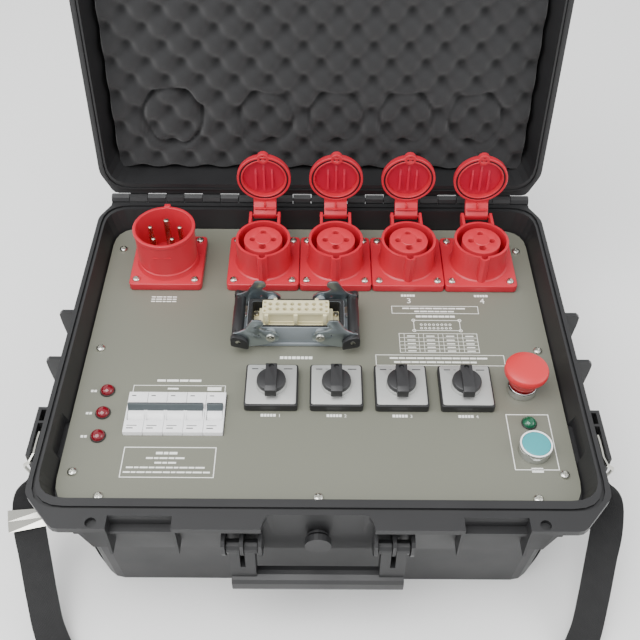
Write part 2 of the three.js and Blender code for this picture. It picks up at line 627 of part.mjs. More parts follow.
// ---- circuit breakers ---------------------------------------------------------------------
function breaker(first, modules) {
  const b = BREAKER;
  const x0 = b.x + first * b.module + GAP / 2;
  const x1 = b.x + (first + modules) * b.module - GAP / 2;
  const mid = (b.front + b.back) / 2;
  const nose = box(x0, x1, b.front, b.back, PANEL_Z - 30, PANEL_Z + b.rise);
  const body = box(x0, x1, mid - 42.5, mid + 42.5, PANEL_Z - b.depth, PANEL_Z - 24);
  return cut(
    join(nose, body),
    box(x0 + 1.5, x1 - 1.5, mid - 9.2, mid + 9.2, PANEL_Z - 14, PANEL_Z + 6),
    box(x0 - 1, x1 + 1, mid - 17.8, mid + 17.8, PANEL_Z - b.depth - 1, PANEL_Z - b.depth + 6),
  );
}

// Toggle drum and lever with its axis at the origin, leaning to the rear.
function toggle(modules) {
  const half = (modules * BREAKER.module) / 2 - 2.2;
  const lean = THREE.MathUtils.degToRad(25);
  const tip = (r, side) => [r * Math.sin(lean) + side * Math.cos(lean), r * Math.cos(lean) - side * Math.sin(lean)];
  const blade = plateYZ([tip(4, 2.8), tip(15, 2.4), tip(15, -2.4), tip(4, -2.8)].reverse(), 0.8, -half, half);
  return join(rodX(-half, half, 0, 0, 8.2, 16), blade);
}

// ---- inside the case ----------------------------------------------------------------------
// Four reversing contactors linked side by side on a floor rail.
function contactorBank() {
  const units = [0, 1, 2, 3].map((i) => {
    const x = -43 + i * 50;
    return join(
      box(x - 22.5, x + 22.5, -148, -72, 19, 62), box(x - 20, x + 20, -138, -82, 60, 80),
    );
  });
  const links = box(-40, 104, -118, -102, 30, 40);
  const feet = [-60, 130].map((x) => box(x - 10, x + 10, -120, -100, 4 + GAP, 13));
  return join(...units, links, hatRail(-72, 142, -110, 20), ...feet);
}

// Row of feed-through terminals on a short rail of its own.
function terminalStrip() {
  const pitch = 10.4;
  const first = -186;
  const blocks = Array.from({ length: 8 }, (_, i) => join(
    box(first + i * pitch, first + (i + 1) * pitch - 0.8, -126, -94, 19, 50),
    box(first + i * pitch, first + (i + 1) * pitch - 0.8, -134, -86, 19, 38),
  ));
  return join(
    ...blocks, hatRail(first - 4, first + 8 * pitch + 4, -110, 20),
    box(first, first + 8 * pitch, -120, -100, 4 + GAP, 13),
  );
}

// ---- carrying strap -----------------------------------------------------------------------
// Half of the strap's route, from the right ring to the middle of the floor in front.
const STRAP_ROUTE = [
  [253.8, -119, 111], [258, -124, 96], [262, -138, 82], [260, -158, 69], [253, -182, 54],
  [246, -208, 33], [238, -232, 13], [222, -256, 4], [190, -281, 2.2], [130, -301, 2.2], [60, -310, 2.2],
];
const SLIDER_AT = 0.13; // share of the half route from the ring to the slider's middle

function strapCurve() {
  const right = STRAP_ROUTE.map((p) => new THREE.Vector3(...p));
  const left = [...right].reverse().map((p) => new THREE.Vector3(-p.x, p.y, p.z));
  return new THREE.CatmullRomCurve3([...right, ...left]);
}

// Width direction of the webbing: along Y at the rings, along X in front of the corners.
function strapWidth(curve, t) {
  const tangent = curve.getTangentAt(t);
  const fromEnd = Math.min(t, 1 - t) * 2;
  const turn = Math.min(1, fromEnd / 0.2) * (Math.PI / 2);
  const side = t < 0.5 ? 1 : -1;
  const wish = new THREE.Vector3(-side * Math.sin(turn), Math.cos(turn), 0);
  if (fromEnd > 0.45) wish.copy(tangent).cross(new THREE.Vector3(0, 0, 1));
  return wish.addScaledVector(tangent, -wish.dot(tangent)).normalize();
}

// A flat band along the curve: a box whose every cross-section is moved into place.
function band(curve, t0, t1, width, thick, steps) {
  const geometry = new THREE.BoxGeometry(1, 1, 1, 1, 1, steps);
  const at = geometry.attributes.position;
  const point = new THREE.Vector3();
  for (let i = 0; i < at.count; i += 1) {
    const t = t0 + (t1 - t0) * (at.getZ(i) + 0.5);
    const across = strapWidth(curve, t);
    const normal = curve.getTangentAt(t).clone().cross(across).normalize();
    point.copy(curve.getPointAt(t)).addScaledVector(across, at.getX(i) * width);
    point.addScaledVector(normal, at.getY(i) * thick);
    at.setXYZ(i, point.x, point.y, point.z);
  }
  return geometry;
}

function strapSlider(curve) {
  const middle = 1 - SLIDER_AT / 2;
  const half = 0.0105;
  return cut(
    band(curve, middle - half, middle + half, STRAP.width + 8, 5.6, 2),
    band(curve, middle - 2 * half, middle + 2 * half, STRAP.width + 1.6, STRAP.thick + 5 * GAP, 8),
  );
}

// Wire ring round the bracket's outer bar and the lowered front web.
function strapRing(side) {
  const route = [
    [243.4, -105.2, 120], [243.2, -105, 138], [243.2, -109, 146.5], [243.2, -119, 148.4], [243.2, -130, 148.4],
    [243.8, -139.4, 147.5], [248, -142, 145],
    [252.4, -139, 138], [253.6, -134, 122], [253.8, -130, 112.6], [253.8, -119, 110.4], [253.8, -108, 110.4],
    [252.5, -104.5, 111], [248, -104, 113.5], [244.6, -105, 117.6],
  ];
  const curve = new THREE.CatmullRomCurve3(route.map((p) => new THREE.Vector3(...p)));
  const ring = tube(curve, 1.5, 3, 18);
  return side > 0 ? ring : mirrorX(ring);
}

// ---- assembly -----------------------------------------------------------------------------
add('case_base', caseBase(), 'case');
add('panel_frame', panelFrame(), 'steel');
add('front_panel', frontPanel(), 'panel');
add('hinge_pin', rodX(-HINGE.reach + 2, HINGE.reach - 2, HINGE.y, HINGE.z, HINGE.pin, 10), 'steel');
add('front_handle', frontHandle(), 'case');
add('pressure_valve_body', valveBody(), 'black');
add('pressure_valve_knob', valveKnob(), 'black');
add('contactor_bank', contactorBank(), 'black');
add('terminal_strip', terminalStrip(), 'grey');

add('lid_shell', inLid(lidShell()), 'case', lid);
add('lid_foam', inLid(lidFoam()), 'foam', lid);
add('lid_gasket', inLid(sealRing(0.6, RIM_Z - 1.2, RIM_Z + 2.6)), 'rubber', lid);
for (const [side, name] of [[-1, 'left'], [1, 'right']]) {
  const swing = new THREE.Group();
  swing.position.set(0, LATCH.y - HINGE.y, LATCH.z - HINGE.z);
  swing.rotation.x = -LATCH.released;
  lid.add(swing);
  add(`latch_${name}`, latch(side).translate(0, -LATCH.y, -LATCH.z), 'black', swing);
}

add('inlet_housing', inletHousing(), 'red');
add('inlet_insert', inletInsert(), 'red');
SOCKET.x.forEach((x, i) => {
  add(`socket_housing_${i + 1}`, socketHousing(x), 'red');
  add(`socket_insert_${i + 1}`, socketInsert(x), 'red');
  const lifted = add(`socket_flap_${i + 1}`, flap(), 'red');
  lifted.position.set(x, SOCKET.y + FLAP.y, PANEL_Z + FLAP.z);
  lifted.rotation.x = -FLAP.open;
});

add('connector_housing', connectorHousing(), 'housing');
add('connector_insert', connectorInsert(), 'cream');
for (const [side, name] of [[-1, 'left'], [1, 'right']]) {
  const shape = side < 0 ? lever() : mirrorX(lever());
  add(`lever_${name}`, shape, 'zinc').position.set(
    CONNECTOR.x + side * CONNECTOR.pivotX, CONNECTOR.y, PANEL_Z + CONNECTOR.pivotZ,
  );
}

SWITCH.x.forEach((x, i) => {
  add(`switch_base_${i + 1}`, switchBase(x), 'black');
  add(`switch_plate_${i + 1}`, switchPlate(x), 'silver');
  add(`switch_knob_${i + 1}`, switchKnob(), 'black').position.set(x, SWITCH.y, PANEL_Z);
});

add('estop_body', buttonBody(ESTOP, 13.8, 9, 8.4), 'steel');
add('estop_button', estopButton(), 'red').position.set(ESTOP.x, ESTOP.y, 0);
add('start_body', cut(
  buttonBody(START, 14.3, 9.4, 10.6), post(START.x, START.y, PANEL_Z + 0.6, PANEL_Z + 12, 13, 20),
), 'steel');
add('start_button', startButton(), 'teal').position.set(START.x, START.y, 0);
RED_LAMPS.forEach(([x, y], i) => add(`lamp_red_${i + 1}`, lamp(x, y), 'lampRed'));
add('lamp_green', lamp(...GREEN_LAMP), 'lampGreen');

add('main_breaker', breaker(0, 4), 'white');
add('control_breaker', breaker(4, 1), 'white');
const toggleY = (BREAKER.front + BREAKER.back) / 2;
add('main_toggle', toggle(4), 'grey').position.set(BREAKER.x + 2 * BREAKER.module, toggleY, PANEL_Z - 4);
add('control_toggle', toggle(1), 'grey').position.set(BREAKER.x + 4.5 * BREAKER.module, toggleY, PANEL_Z - 4);

const route = strapCurve();
add('strap_webbing', band(route, 0.004, 0.996, STRAP.width, STRAP.thick, 96), 'webbing');
add('strap_slider', strapSlider(route), 'steel');
add('strap_ring_left', strapRing(-1), 'steel');
add('strap_ring_right', strapRing(1), 'steel');

export default root;
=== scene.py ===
# %% [markdown]
# # A motor power controller in an equipment case
# A moulded case holds a panel with a mains inlet, four motor sockets, a control connector, switches,
# breakers and push-buttons. The frame already holds every rigid piece at its place. This lesson gives
# each one its finish, and models again, more finely, the pieces whose shape catches the eye.

# %% load the frame
import math

import bpy
from mathutils import Matrix, Vector


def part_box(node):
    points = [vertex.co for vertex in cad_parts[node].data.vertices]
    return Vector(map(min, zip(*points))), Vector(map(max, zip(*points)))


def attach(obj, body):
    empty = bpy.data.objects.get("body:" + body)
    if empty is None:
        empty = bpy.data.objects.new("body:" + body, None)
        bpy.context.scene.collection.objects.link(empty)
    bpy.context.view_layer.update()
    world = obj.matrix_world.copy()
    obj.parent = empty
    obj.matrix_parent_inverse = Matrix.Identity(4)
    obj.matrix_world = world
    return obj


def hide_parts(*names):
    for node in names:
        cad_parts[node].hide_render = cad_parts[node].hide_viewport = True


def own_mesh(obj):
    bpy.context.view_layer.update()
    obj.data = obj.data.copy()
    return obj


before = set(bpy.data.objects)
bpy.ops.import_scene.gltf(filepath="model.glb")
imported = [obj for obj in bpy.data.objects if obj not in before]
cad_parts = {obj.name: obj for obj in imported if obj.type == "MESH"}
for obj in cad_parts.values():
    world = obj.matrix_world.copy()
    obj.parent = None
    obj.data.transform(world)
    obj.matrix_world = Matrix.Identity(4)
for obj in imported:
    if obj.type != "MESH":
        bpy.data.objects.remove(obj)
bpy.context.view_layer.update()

print("the frame holds", len(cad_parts), "pieces")

# %% [markdown]
# ## Camera
# The camera stands in front of the case, above it, and looks down at the panel by 47 degrees.
# It comes before the strap, so that the strap's room can be judged from it.

# %% camera
MM = 0.001
lens = bpy.data.cameras.new("camera")
lens.lens = 49.04
lens.sensor_width = 36
lens.clip_end = 20
camera = bpy.data.objects.new("camera", lens)
camera.location = (-0.0003, -0.5557, 0.77225)
turn = Matrix.Rotation(math.radians(-0.085), 3, "Z") @ Matrix.Rotation(math.radians(90 - 47.123), 3, "X")
camera.rotation_euler = (turn @ Matrix.Rotation(math.radians(0.43), 3, "Z")).to_euler()
bpy.context.collection.objects.link(camera)
bpy.context.scene.camera = camera
print("camera height", round(camera.location.z, 3), "m")

# %% [markdown]
# ## Modelling tools
# Most devices on a panel are turned, moulded in flat outlines, or drilled. So four tools do nearly
# everything: a turned piece grows ring by ring from a circle, a plate is an outline that is extruded,
# a cut takes one solid from another, and a soft edge is a narrow bevel. They could be drawn by hand
# each time, but a tool keeps every device to the same edges. Sizes are in millimetres, as on a
# drawing, and become metres here.

# %% modelling tools
def current(obj):
    """Makes obj the only selected and active object."""
    bpy.ops.object.select_all(action="DESELECT")
    obj.select_set(True)
    bpy.context.view_layer.objects.active = obj
    return obj


def settle(obj):
    """Puts the object's place and size into its vertices, with all faces pointing out."""
    current(obj)
    bpy.ops.object.transform_apply(location=True, rotation=True, scale=True)
    bpy.ops.object.mode_set(mode="EDIT")
    bpy.ops.mesh.select_all(action="SELECT")
    bpy.ops.mesh.normals_make_consistent(inside=False)
    bpy.ops.object.mode_set(mode="OBJECT")
    return obj


def turned(at, rings, sides=64, fill="NGON"):
    """A turned piece on a vertical axis; rings are (radius, height above at) in millimetres."""
    x, y, z = at
    radius, height = rings[0]
    bpy.ops.mesh.primitive_circle_add(
        vertices=sides, radius=radius * MM, fill_type=fill, location=(x * MM, y * MM, (z + height) * MM)
    )
    obj = bpy.context.object
    bpy.ops.object.mode_set(mode="EDIT")
    bpy.ops.mesh.select_all(action="SELECT")
    for wide, up in rings[1:]:
        bpy.ops.mesh.extrude_region_move(TRANSFORM_OT_translate={"value": (0, 0, (up - height) * MM)})
        grow = wide / radius
        bpy.ops.transform.resize(value=(grow, grow, 1), center_override=(x * MM, y * MM, (z + up) * MM))
        radius, height = wide, up
    bpy.ops.mesh.select_all(action="SELECT")
    bpy.ops.mesh.remove_doubles(threshold=0.001 * MM)
    bpy.ops.object.mode_set(mode="OBJECT")
    return settle(obj)


def rounded(corners, r, steps=6):
    """The corners of a flat outline, each replaced by an arc of about radius r."""
    points = []
    count = len(corners)
    for i, corner in enumerate(corners):
        here = Vector(corner)
        before = Vector(corners[i - 1]) - here
        after = Vector(corners[(i + 1) % count]) - here
        reach = min(r, before.length * 0.49, after.length * 0.49)
        start, end = before.normalized() * reach, after.normalized() * reach
        for step in range(steps + 1):
            t = step / steps
            points.append(here + start * (1 - t) ** 2 + end * t**2)
    return points


def plate(corners, r, low, high, plane="XY", steps=6):
    """A flat outline with rounded corners, extruded from low to high across its plane."""
    lift = {
        "XY": lambda p: (p.x * MM, p.y * MM, low * MM),
        "XZ": lambda p: (p.x * MM, low * MM, p.y * MM),
        "YZ": lambda p: (low * MM, p.x * MM, p.y * MM),
    }[plane]
    points = [lift(p) for p in (rounded(corners, r, steps) if r else map(Vector, corners))]
    mesh = bpy.data.meshes.new("plate")
    mesh.from_pydata(points, [], [tuple(range(len(points)))])
    obj = bpy.data.objects.new("plate", mesh)
    bpy.context.collection.objects.link(obj)
    current(obj)
    bpy.ops.object.mode_set(mode="EDIT")
    bpy.ops.mesh.select_all(action="SELECT")
    span = Vector({"XY": (0, 0, 1), "XZ": (0, 1, 0), "YZ": (1, 0, 0)}[plane]) * (high - low) * MM
    bpy.ops.mesh.extrude_region_move(TRANSFORM_OT_translate={"value": span})
    bpy.ops.object.mode_set(mode="OBJECT")
    return settle(obj)


def hoop(at, inner, outer, low, high, sides=96):
    """A flat ring, turned round its own four corners."""
    corners = [(inner, low), (outer, low), (outer, high), (inner, high), (inner, low)]
    return turned(at, corners, sides, "NOTHING")


def square(x, y, half, half_y=None):
    """The four corners of a square, or of a rectangle, about (x, y)."""
    tall = half if half_y is None else half_y
    return [(x - half, y - tall), (x + half, y - tall), (x + half, y + tall), (x - half, y + tall)]


def block(x0, x1, y0, y1, z0, z1):
    """A box between two corners."""
    middle = [(a + b) / 2 * MM for a, b in ((x0, x1), (y0, y1), (z0, z1))]
    bpy.ops.mesh.primitive_cube_add(size=1, location=middle)
    obj = bpy.context.object
    obj.scale = [(b - a) * MM for a, b in ((x0, x1), (y0, y1), (z0, z1))]
    return settle(obj)


def rod(start, end, r, sides=32):
    """A round bar between two points."""
    a, b = Vector(start) * MM, Vector(end) * MM
    bpy.ops.mesh.primitive_cylinder_add(
        vertices=sides, radius=r * MM, depth=(b - a).length, location=(a + b) / 2
    )
    obj = bpy.context.object
    obj.rotation_euler = (b - a).to_track_quat("Z", "Y").to_euler()
    return settle(obj)


def apply_modifier(obj, kind, **settings):
    """Puts one modifier on obj and applies it at once."""
    current(obj)
    modifier = obj.modifiers.new(kind.lower(), kind)
    for key, value in settings.items():
        setattr(modifier, key, value)
    bpy.ops.object.modifier_apply(modifier=modifier.name)
    return obj


def cut(obj, *tools):
    """Takes each tool's volume from obj."""
    for tool in tools:
        apply_modifier(obj, "BOOLEAN", operation="DIFFERENCE", solver="EXACT", object=tool)
        bpy.data.objects.remove(tool)
    return obj


def fuse(obj, *others):
    """Adds each other solid's volume to obj."""
    for other in others:
        apply_modifier(obj, "BOOLEAN", operation="UNION", solver="EXACT", object=other)
        bpy.data.objects.remove(other)
    return obj


def soften(obj, width, segments=2, angle=32):
    """A narrow bevel on every edge sharper than angle, then smooth shading between soft edges."""
    apply_modifier(
        obj, "BEVEL", width=width * MM, segments=segments, limit_method="ANGLE",
        angle_limit=math.radians(angle), use_clamp_overlap=True,
    )
    bpy.ops.object.shade_smooth_by_angle(angle=math.radians(35))
    return obj


def gather(*parts):
    """Joins parts of one material into one object."""
    current(parts[0])
    for part in parts[1:]:
        part.select_set(True)
    if len(parts) > 1:
        bpy.ops.object.join()
    return bpy.context.object


def copy_to(obj, x, y, z=0):
    """A copy of obj, moved by millimetres."""
    twin = obj.copy()
    twin.data = obj.data.copy()
    bpy.context.collection.objects.link(twin)
    twin.data.transform(Matrix.Translation((x * MM, y * MM, z * MM)))
    return twin


def finish(obj, name, material, body="case", nodes=()):
    """Names a new piece, gives it its material and hangs it on the body it moves with."""
    obj.name = name
    obj.data.materials.clear()
    obj.data.materials.append(material)
    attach(obj, body)
    if nodes:
        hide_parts(*nodes)
    return obj


print("tools: turned, plate, block, rod, hoop, cut, fuse, soften, gather, finish")


# %% [markdown]
# ## Finishes
# Every finish is one recipe with its own numbers: a colour that drifts slowly over the piece, a gloss
# that drifts with it, and a fine grain as relief. Real moulded plastic has a spark-eroded grain under
# half a millimetre; powder coat has an orange-peel ripple of two to three millimetres.

# %% finish tools
def linear(code):
    """A hex colour, as on a screen, in the linear values that a shader takes."""
    values = [int(code[i : i + 2], 16) / 255 for i in (1, 3, 5)]
    return [v / 12.92 if v <= 0.04045 else ((v + 0.055) / 1.055) ** 2.4 for v in values] + [1]


def add(tree, kind, settings=None, links=None):
    """Adds a shader node, sets its values and wires its inputs."""
    node = tree.nodes.new(kind)
    for key, value in (settings or {}).items():
        if key in node.inputs:
            node.inputs[key].default_value = value
        else:
            setattr(node, key, value)
    for key, socket in (links or {}).items():
        tree.links.new(socket, node.inputs[key])
    return node


def tinted(code, factor):
    """The linear colour, made lighter or darker by a factor."""
    return [min(1, v * factor) for v in linear(code)[:3]] + [1]


def surface(
    name, code, roughness, grain=0.4, relief=0.12, drift=0.06, sheen_drift=0.05, drift_size=45, **extra
):
    """One opaque finish; grain and drift_size are in millimetres, extra goes to the shader's sockets."""
    material = bpy.data.materials.new(name)
    material.use_nodes = True
    tree = material.node_tree
    tree.nodes.clear()
    place = add(tree, "ShaderNodeTexCoord").outputs["Object"]
    slow = add(tree, "ShaderNodeTexNoise", {"Scale": 1000 / drift_size, "Detail": 3.0}, {"Vector": place})
    fine = add(tree, "ShaderNodeTexNoise", {"Scale": 1000 / grain, "Detail": 2.0}, {"Vector": place})
    colour = add(tree, "ShaderNodeMix", {"data_type": "RGBA"})
    tree.links.new(slow.outputs["Fac"], colour.inputs[0])
    dark, light = [s for s in colour.inputs if s.type == "RGBA"][:2]
    dark.default_value, light.default_value = tinted(code, 1 - drift), tinted(code, 1 + drift)
    gloss = add(tree, "ShaderNodeMapRange", {
        "From Min": 0.3, "From Max": 0.7,
        "To Min": roughness - sheen_drift, "To Max": roughness + sheen_drift,
    }, {"Value": slow.outputs["Fac"]})
    bump = add(tree, "ShaderNodeBump", {"Strength": relief, "Distance": grain * 0.5 * MM},
               {"Height": fine.outputs["Fac"]})
    mixed = [s for s in colour.outputs if s.type == "RGBA"][0]
    shader = add(tree, "ShaderNodeBsdfPrincipled", extra, {
        "Base Color": mixed, "Roughness": gloss.outputs["Result"], "Normal": bump.outputs["Normal"],
    })
    add(tree, "ShaderNodeOutputMaterial", None, {"Surface": shader.outputs["BSDF"]})
    return material


print("a mid grey of #808080 is", round(linear("#808080")[0], 3), "in linear light")


# %% [markdown]
# The case is grained polypropylene, a dark grey that turns lighter where the grain faces the light.
# The panel is powder-coated sheet, whose ripple blurs what it reflects. The connectors' red is a satin
# nylon, with soft highlights and a little light under its skin. Screws and levers are zinc-plated
# steel: bright, a little blue, and dulled by handling. Grain finer than half a millimetre can't be
# seen from the camera and only blurs the highlights. Each line is a name, a colour, the roughness,
# the grain in millimetres, the relief, and how far colour and gloss drift.

# %% finishes
M = {
    # moulded rubber and plastics of the case, and the sheet and inks of the panel
    "case": surface("grained polypropylene, near black", "#242425", 0.44, 0.5, 0.22, 0.06),
    "rubber": surface("black rubber seal", "#1a1a1b", 0.7, 0.3, 0.1),
    "panel": surface("powder-coated sheet, warm grey", "#737468", 0.42, 1.6, 0.05, 0.02, 0.03, 160),
    "ink": surface("screen-printed white ink", "#f3f4ee", 0.5, 0.3, 0.05, 0.02),
    "dark ink": surface("screen-printed black ink", "#26272a", 0.5, 0.3, 0.05, 0.02),
    # the sockets: satin outside, deeper and softer red where it is shaded
    "red": surface("satin red nylon", "#c22535", 0.36, 0.35, 0.06, 0.03, **{"Subsurface Weight": 0.04}),
    "red insert": surface("red contact insert", "#c62d3a", 0.4, 0.35, 0.06, 0.03),
    "seal": surface("dark flap seal", "#26060a", 0.6, 0.3, 0.1),
    # plated and polished metals, from dull zinc to mirror chrome
    "zinc": surface("zinc-plated steel", "#a9b2b6", 0.34, 0.3, 0.05, 0.08, 0.08, 18, Metallic=1.0),
    "screw": surface("bright zinc screw", "#d3d3cb", 0.27, 0.2, 0.04, 0.05, 0.05, 6, Metallic=1.0),
    "nickel": surface(
        "nickel-plated wire and stamping", "#d0cfc6", 0.22, 0.2, 0.03, 0.04, 0.04, 12, Metallic=1.0
    ),
    "chrome": surface("polished chrome ring", "#d8dadb", 0.1, 0.2, 0.01, 0.02, 0.03, 20, Metallic=1.0),
    "pin": surface("nickel-plated contact pin", "#cfc8b6", 0.25, 0.2, 0.03, 0.05, 0.05, 8, Metallic=1.0),
    # moulded and coated pieces of the devices: dry highlights, little relief
    "die cast": surface("powder-coated zinc die casting", "#858c90", 0.42, 0.8, 0.08, 0.03),
    "cream": surface("cream glass-filled polyester", "#d8d0aa", 0.5, 0.35, 0.08, 0.03),
    "black": surface("black moulded nylon", "#232324", 0.42, 0.35, 0.1, 0.04),
    "knob": surface("dark grey moulded knob", "#2f2f30", 0.38, 0.3, 0.08, 0.04),
    "silver": surface("satin silver legend plate", "#b3b4b1", 0.38, 0.5, 0.04, 0.03, Metallic=0.35),
    "estop": surface("red mushroom button", "#cf2f35", 0.4, 0.3, 0.05, 0.03, **{"Subsurface Weight": 0.05}),
    "teal": surface("teal push-button cap", "#3f9fa5", 0.35, 0.3, 0.04, 0.03),
    "white": surface("white breaker moulding", "#fbfbfb", 0.38, 0.35, 0.05, 0.02),
    "grey": surface("blue-grey toggle", "#5c676c", 0.4, 0.35, 0.06, 0.03),
    "well": surface("crimson moulded well", "#c01436", 0.42, 0.35, 0.05, 0.03, **{"Subsurface Weight": 0.05}),
    "dark toggle": surface("dark grey toggle blade", "#4a5154", 0.38, 0.35, 0.05, 0.03),
    "dark steel": surface("blackened steel pin", "#202122", 0.4, 0.3, 0.05, 0.05, 0.05, 20, Metallic=1.0),
    "maroon": surface("dark red grip inset", "#451015", 0.5, 0.35, 0.08, 0.04),
}
print(len(M), "finishes so far")

# %% [markdown]
# Lamp lenses are clear coloured plastic over a dark cavity, so the light goes in and is absorbed.
# Foam scatters nearly everything, and its open cells catch light as a faint fuzz.

# %% lenses and foam
def lens_finish(name, code):
    return surface(name, code, 0.08, 0.5, 0.0, 0.02, 0.01, 45,
                   **{"IOR": 1.49, "Coat Weight": 0.6, "Coat Roughness": 0.04, "Transmission Weight": 0.35})


M["red lens"] = lens_finish("red lamp lens", "#8c0d22")
M["green lens"] = lens_finish("green lamp lens", "#0f6a48")
M["foam"] = surface("open-cell foam, charcoal", "#29292a", 0.95, 1.1, 0.5, 0.08, 0.02, 30,
                    **{"Sheen Weight": 0.25, "Sheen Roughness": 0.6, "Specular IOR Level": 0.15})
print(len(M), "finishes with the lenses and the foam")

# %% [markdown]
# ## Carried-over pieces
# These keep the frame's own shape. A narrow bevel, wide enough to catch a line of light, takes away
# the sharp arrises that no moulding or casting has.

# %% carried-over pieces
def carry(finish_name, bevel, *nodes):
    """Gives frame pieces a finish and a soft edge, without moving a vertex."""
    for name in nodes:
        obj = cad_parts[name]
        obj.data.materials.clear()
        obj.data.materials.append(M[finish_name])
        current(obj)
        bpy.ops.object.shade_smooth_by_angle(angle=math.radians(40))
        if bevel:
            edge = obj.modifiers.new("soft edge", "BEVEL")
            edge.width = bevel * MM
            edge.segments = 2
            edge.limit_method = "ANGLE"
            edge.angle_limit = math.radians(40)
            edge.harden_normals = True


carry("case", 0.7, "case_base", "lid_shell", "front_handle", "latch_left", "latch_right")
carry("rubber", 0.2, "lid_gasket")
carry("panel", 0.25, "front_panel")
carry("zinc", 0.2, "panel_frame")
carry("dark steel", 0.2, "hinge_pin")
carry("black", 0.4, "pressure_valve_body", "pressure_valve_knob", "contactor_bank")
carry("grey", 0.4, "terminal_strip")
print("carried over:", "case, lid, handle, latches, panel and what is inside")

# %% [markdown]
# ## Where things are
# Places come from the frame: each piece of it gives its own box.

# %% places
def centre(node):
    """The middle of a frame piece's box, in millimetres."""
    low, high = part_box(node)
    return [(a + b) / 2 / MM for a, b in zip(low, high)]


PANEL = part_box("front_panel")[1][2] / MM
SOCKETS = [centre(f"socket_insert_{i}")[:2] for i in (1, 2, 3, 4)]
INLET = centre("inlet_insert")[:2]
CONNECTOR = centre("connector_insert")[:2]
SWITCHES = [centre(f"switch_plate_{i}")[:2] for i in (1, 2, 3, 4)]
ESTOP, START = centre("estop_button")[:2], centre("start_button")[:2]
print("panel height", round(PANEL, 1), "mm; socket row at y", round(SOCKETS[0][1], 1))

# %% [markdown]
# ## Screws
# One pan-head screw is turned, and two crossed bars cut its recess. It is copied to every place at that
# place's size. Each copy is turned a little differently, as screws are after driving.

# %% screws
MODEL_R = 4
screw = turned((0, 0, 0), [(MODEL_R * wide, MODEL_R * up) for wide, up in (
    (1, 0), (1, 0.25), (0.93, 0.45), (0.7, 0.62), (0.35, 0.7),
)], 32)
SLOT_LONG, SLOT_HALF, SLOT_FLOOR = MODEL_R * 0.62, MODEL_R * 0.12, MODEL_R * 0.35
cut(
    screw, block(-SLOT_LONG, SLOT_LONG, -SLOT_HALF, SLOT_HALF, SLOT_FLOOR, MODEL_R),
    block(-SLOT_HALF, SLOT_HALF, -SLOT_LONG, SLOT_LONG, SLOT_FLOOR, MODEL_R),
)
current(screw)
bpy.ops.object.shade_smooth_by_angle(angle=math.radians(35))


def pan_head(x, y, z, r, turn):
    """A copy of the screw, scaled to radius r, turned and set down at its place."""
    head = copy_to(screw, 0, 0)
    place = Matrix.Translation((x * MM, y * MM, z * MM))
    head.data.transform(place @ Matrix.Rotation(turn, 4, "Z") @ Matrix.Scale(r / MODEL_R, 4))
    return head


FLANGE_TOP = PANEL + 8.9
heads = []
for index, (x, y) in enumerate([INLET] + SOCKETS):
    for corner, (sx, sy) in enumerate([(-1, -1), (1, -1), (1, 1), (-1, 1)]):
        heads.append(pan_head(x + sx * 30, y + sy * 30, FLANGE_TOP, 3.9, 0.7 * index + 1.1 * corner))
finish(gather(*heads), "flange_screws", M["screw"])

heads = [pan_head(s * 212, y, PANEL, 4.3, 0.4 + y) for s in (-1, 1) for y in (141, -1, -142)]
heads += [pan_head(x, -166, PANEL, 4.3, 0.2 + x) for x in (-185.5, 0, 185.5)]
finish(gather(*heads), "panel_screws", M["screw"])

FOOT_TOP = PANEL + 4
CORNERS = [(sx, sy) for sx in (-1, 1) for sy in (-1, 1)]
x, y = CONNECTOR
heads = [pan_head(x + sx * 51.5, y + sy * 16, FOOT_TOP, 2.6, sx + sy) for sx, sy in CORNERS]
finish(gather(*heads), "connector_screws", M["screw"])
bpy.data.objects.remove(screw)
print("screws on flanges, panel and connector")

# %% [markdown]
# ## Motor sockets
# A square flange carries a round barrel. The keyway is a rib on the front of the barrel, hollowed so
# that a plug's key slides down it. Two ears at the back carry the flap's pin. The barrel is turned,
# the rib joined to it, and then both are bored in one cut, so that bore and keyway meet cleanly.

# %% motor sockets
SEAT = PANEL + 0.3
KEY_OUT = 26.6
PIN_BACK, PIN_UP = 43.1, 34


def flange(x, y):
    """The square foot of a socket or of the inlet."""
    return soften(plate(square(x, y, 37.2), 5, SEAT, FLANGE_TOP), 1.0, 3)


def socket(x, y):
    """A socket's housing: flange, bored barrel with its keyway, two ears and the flap's pin."""
    barrel = turned((x, y, PANEL), [
        (23.8, -30), (23.8, 4), (32.5, 8), (29.6, 10), (28.4, 14), (28, 22), (28, 40),
    ], 96)
    fuse(barrel, turned((x, y - KEY_OUT, PANEL), [(5.6, 6), (5.6, 40)], 8))
    bore = turned((x, y, PANEL), [(25.4, 5), (25.4, 42)], 96)
    keyway = turned((x, y - KEY_OUT, PANEL), [(3.4, 14), (3.4, 42)], 24)
    soften(cut(barrel, bore, keyway), 0.5, 2, 40)
    ear = [(y + back, PANEL + up) for back, up in ((22, 20), (22, 39), (44, 39), (47, 34), (43, 28))]
    ears = [soften(plate(ear, 2, x + s * 15 - 1.5, x + s * 15 + 1.5, "YZ"), 0.4) for s in (-1, 1)]
    left, right = [(x + s * 16.8, y + PIN_BACK, PANEL + PIN_UP) for s in (-1, 1)]
    return gather(flange(x, y), barrel, *ears, rod(left, right, 1.6, 24))


for number, (x, y) in enumerate(SOCKETS, 1):
    finish(socket(x, y), f"socket_shell_{number}", M["red"],
           nodes=[f"socket_housing_{number}"])
print("four socket shells")

# %% [markdown]
# The insert is a plain drum. Its earth hole is wider than the other three, and stands at the keyway.
# Inside each hole sits a sleeve that grips the plug's pin. Real holes are drilled here, because light
# falls into them from the side, and a dark disc would give that away.

# %% socket inserts
PITCH_R = 10.8


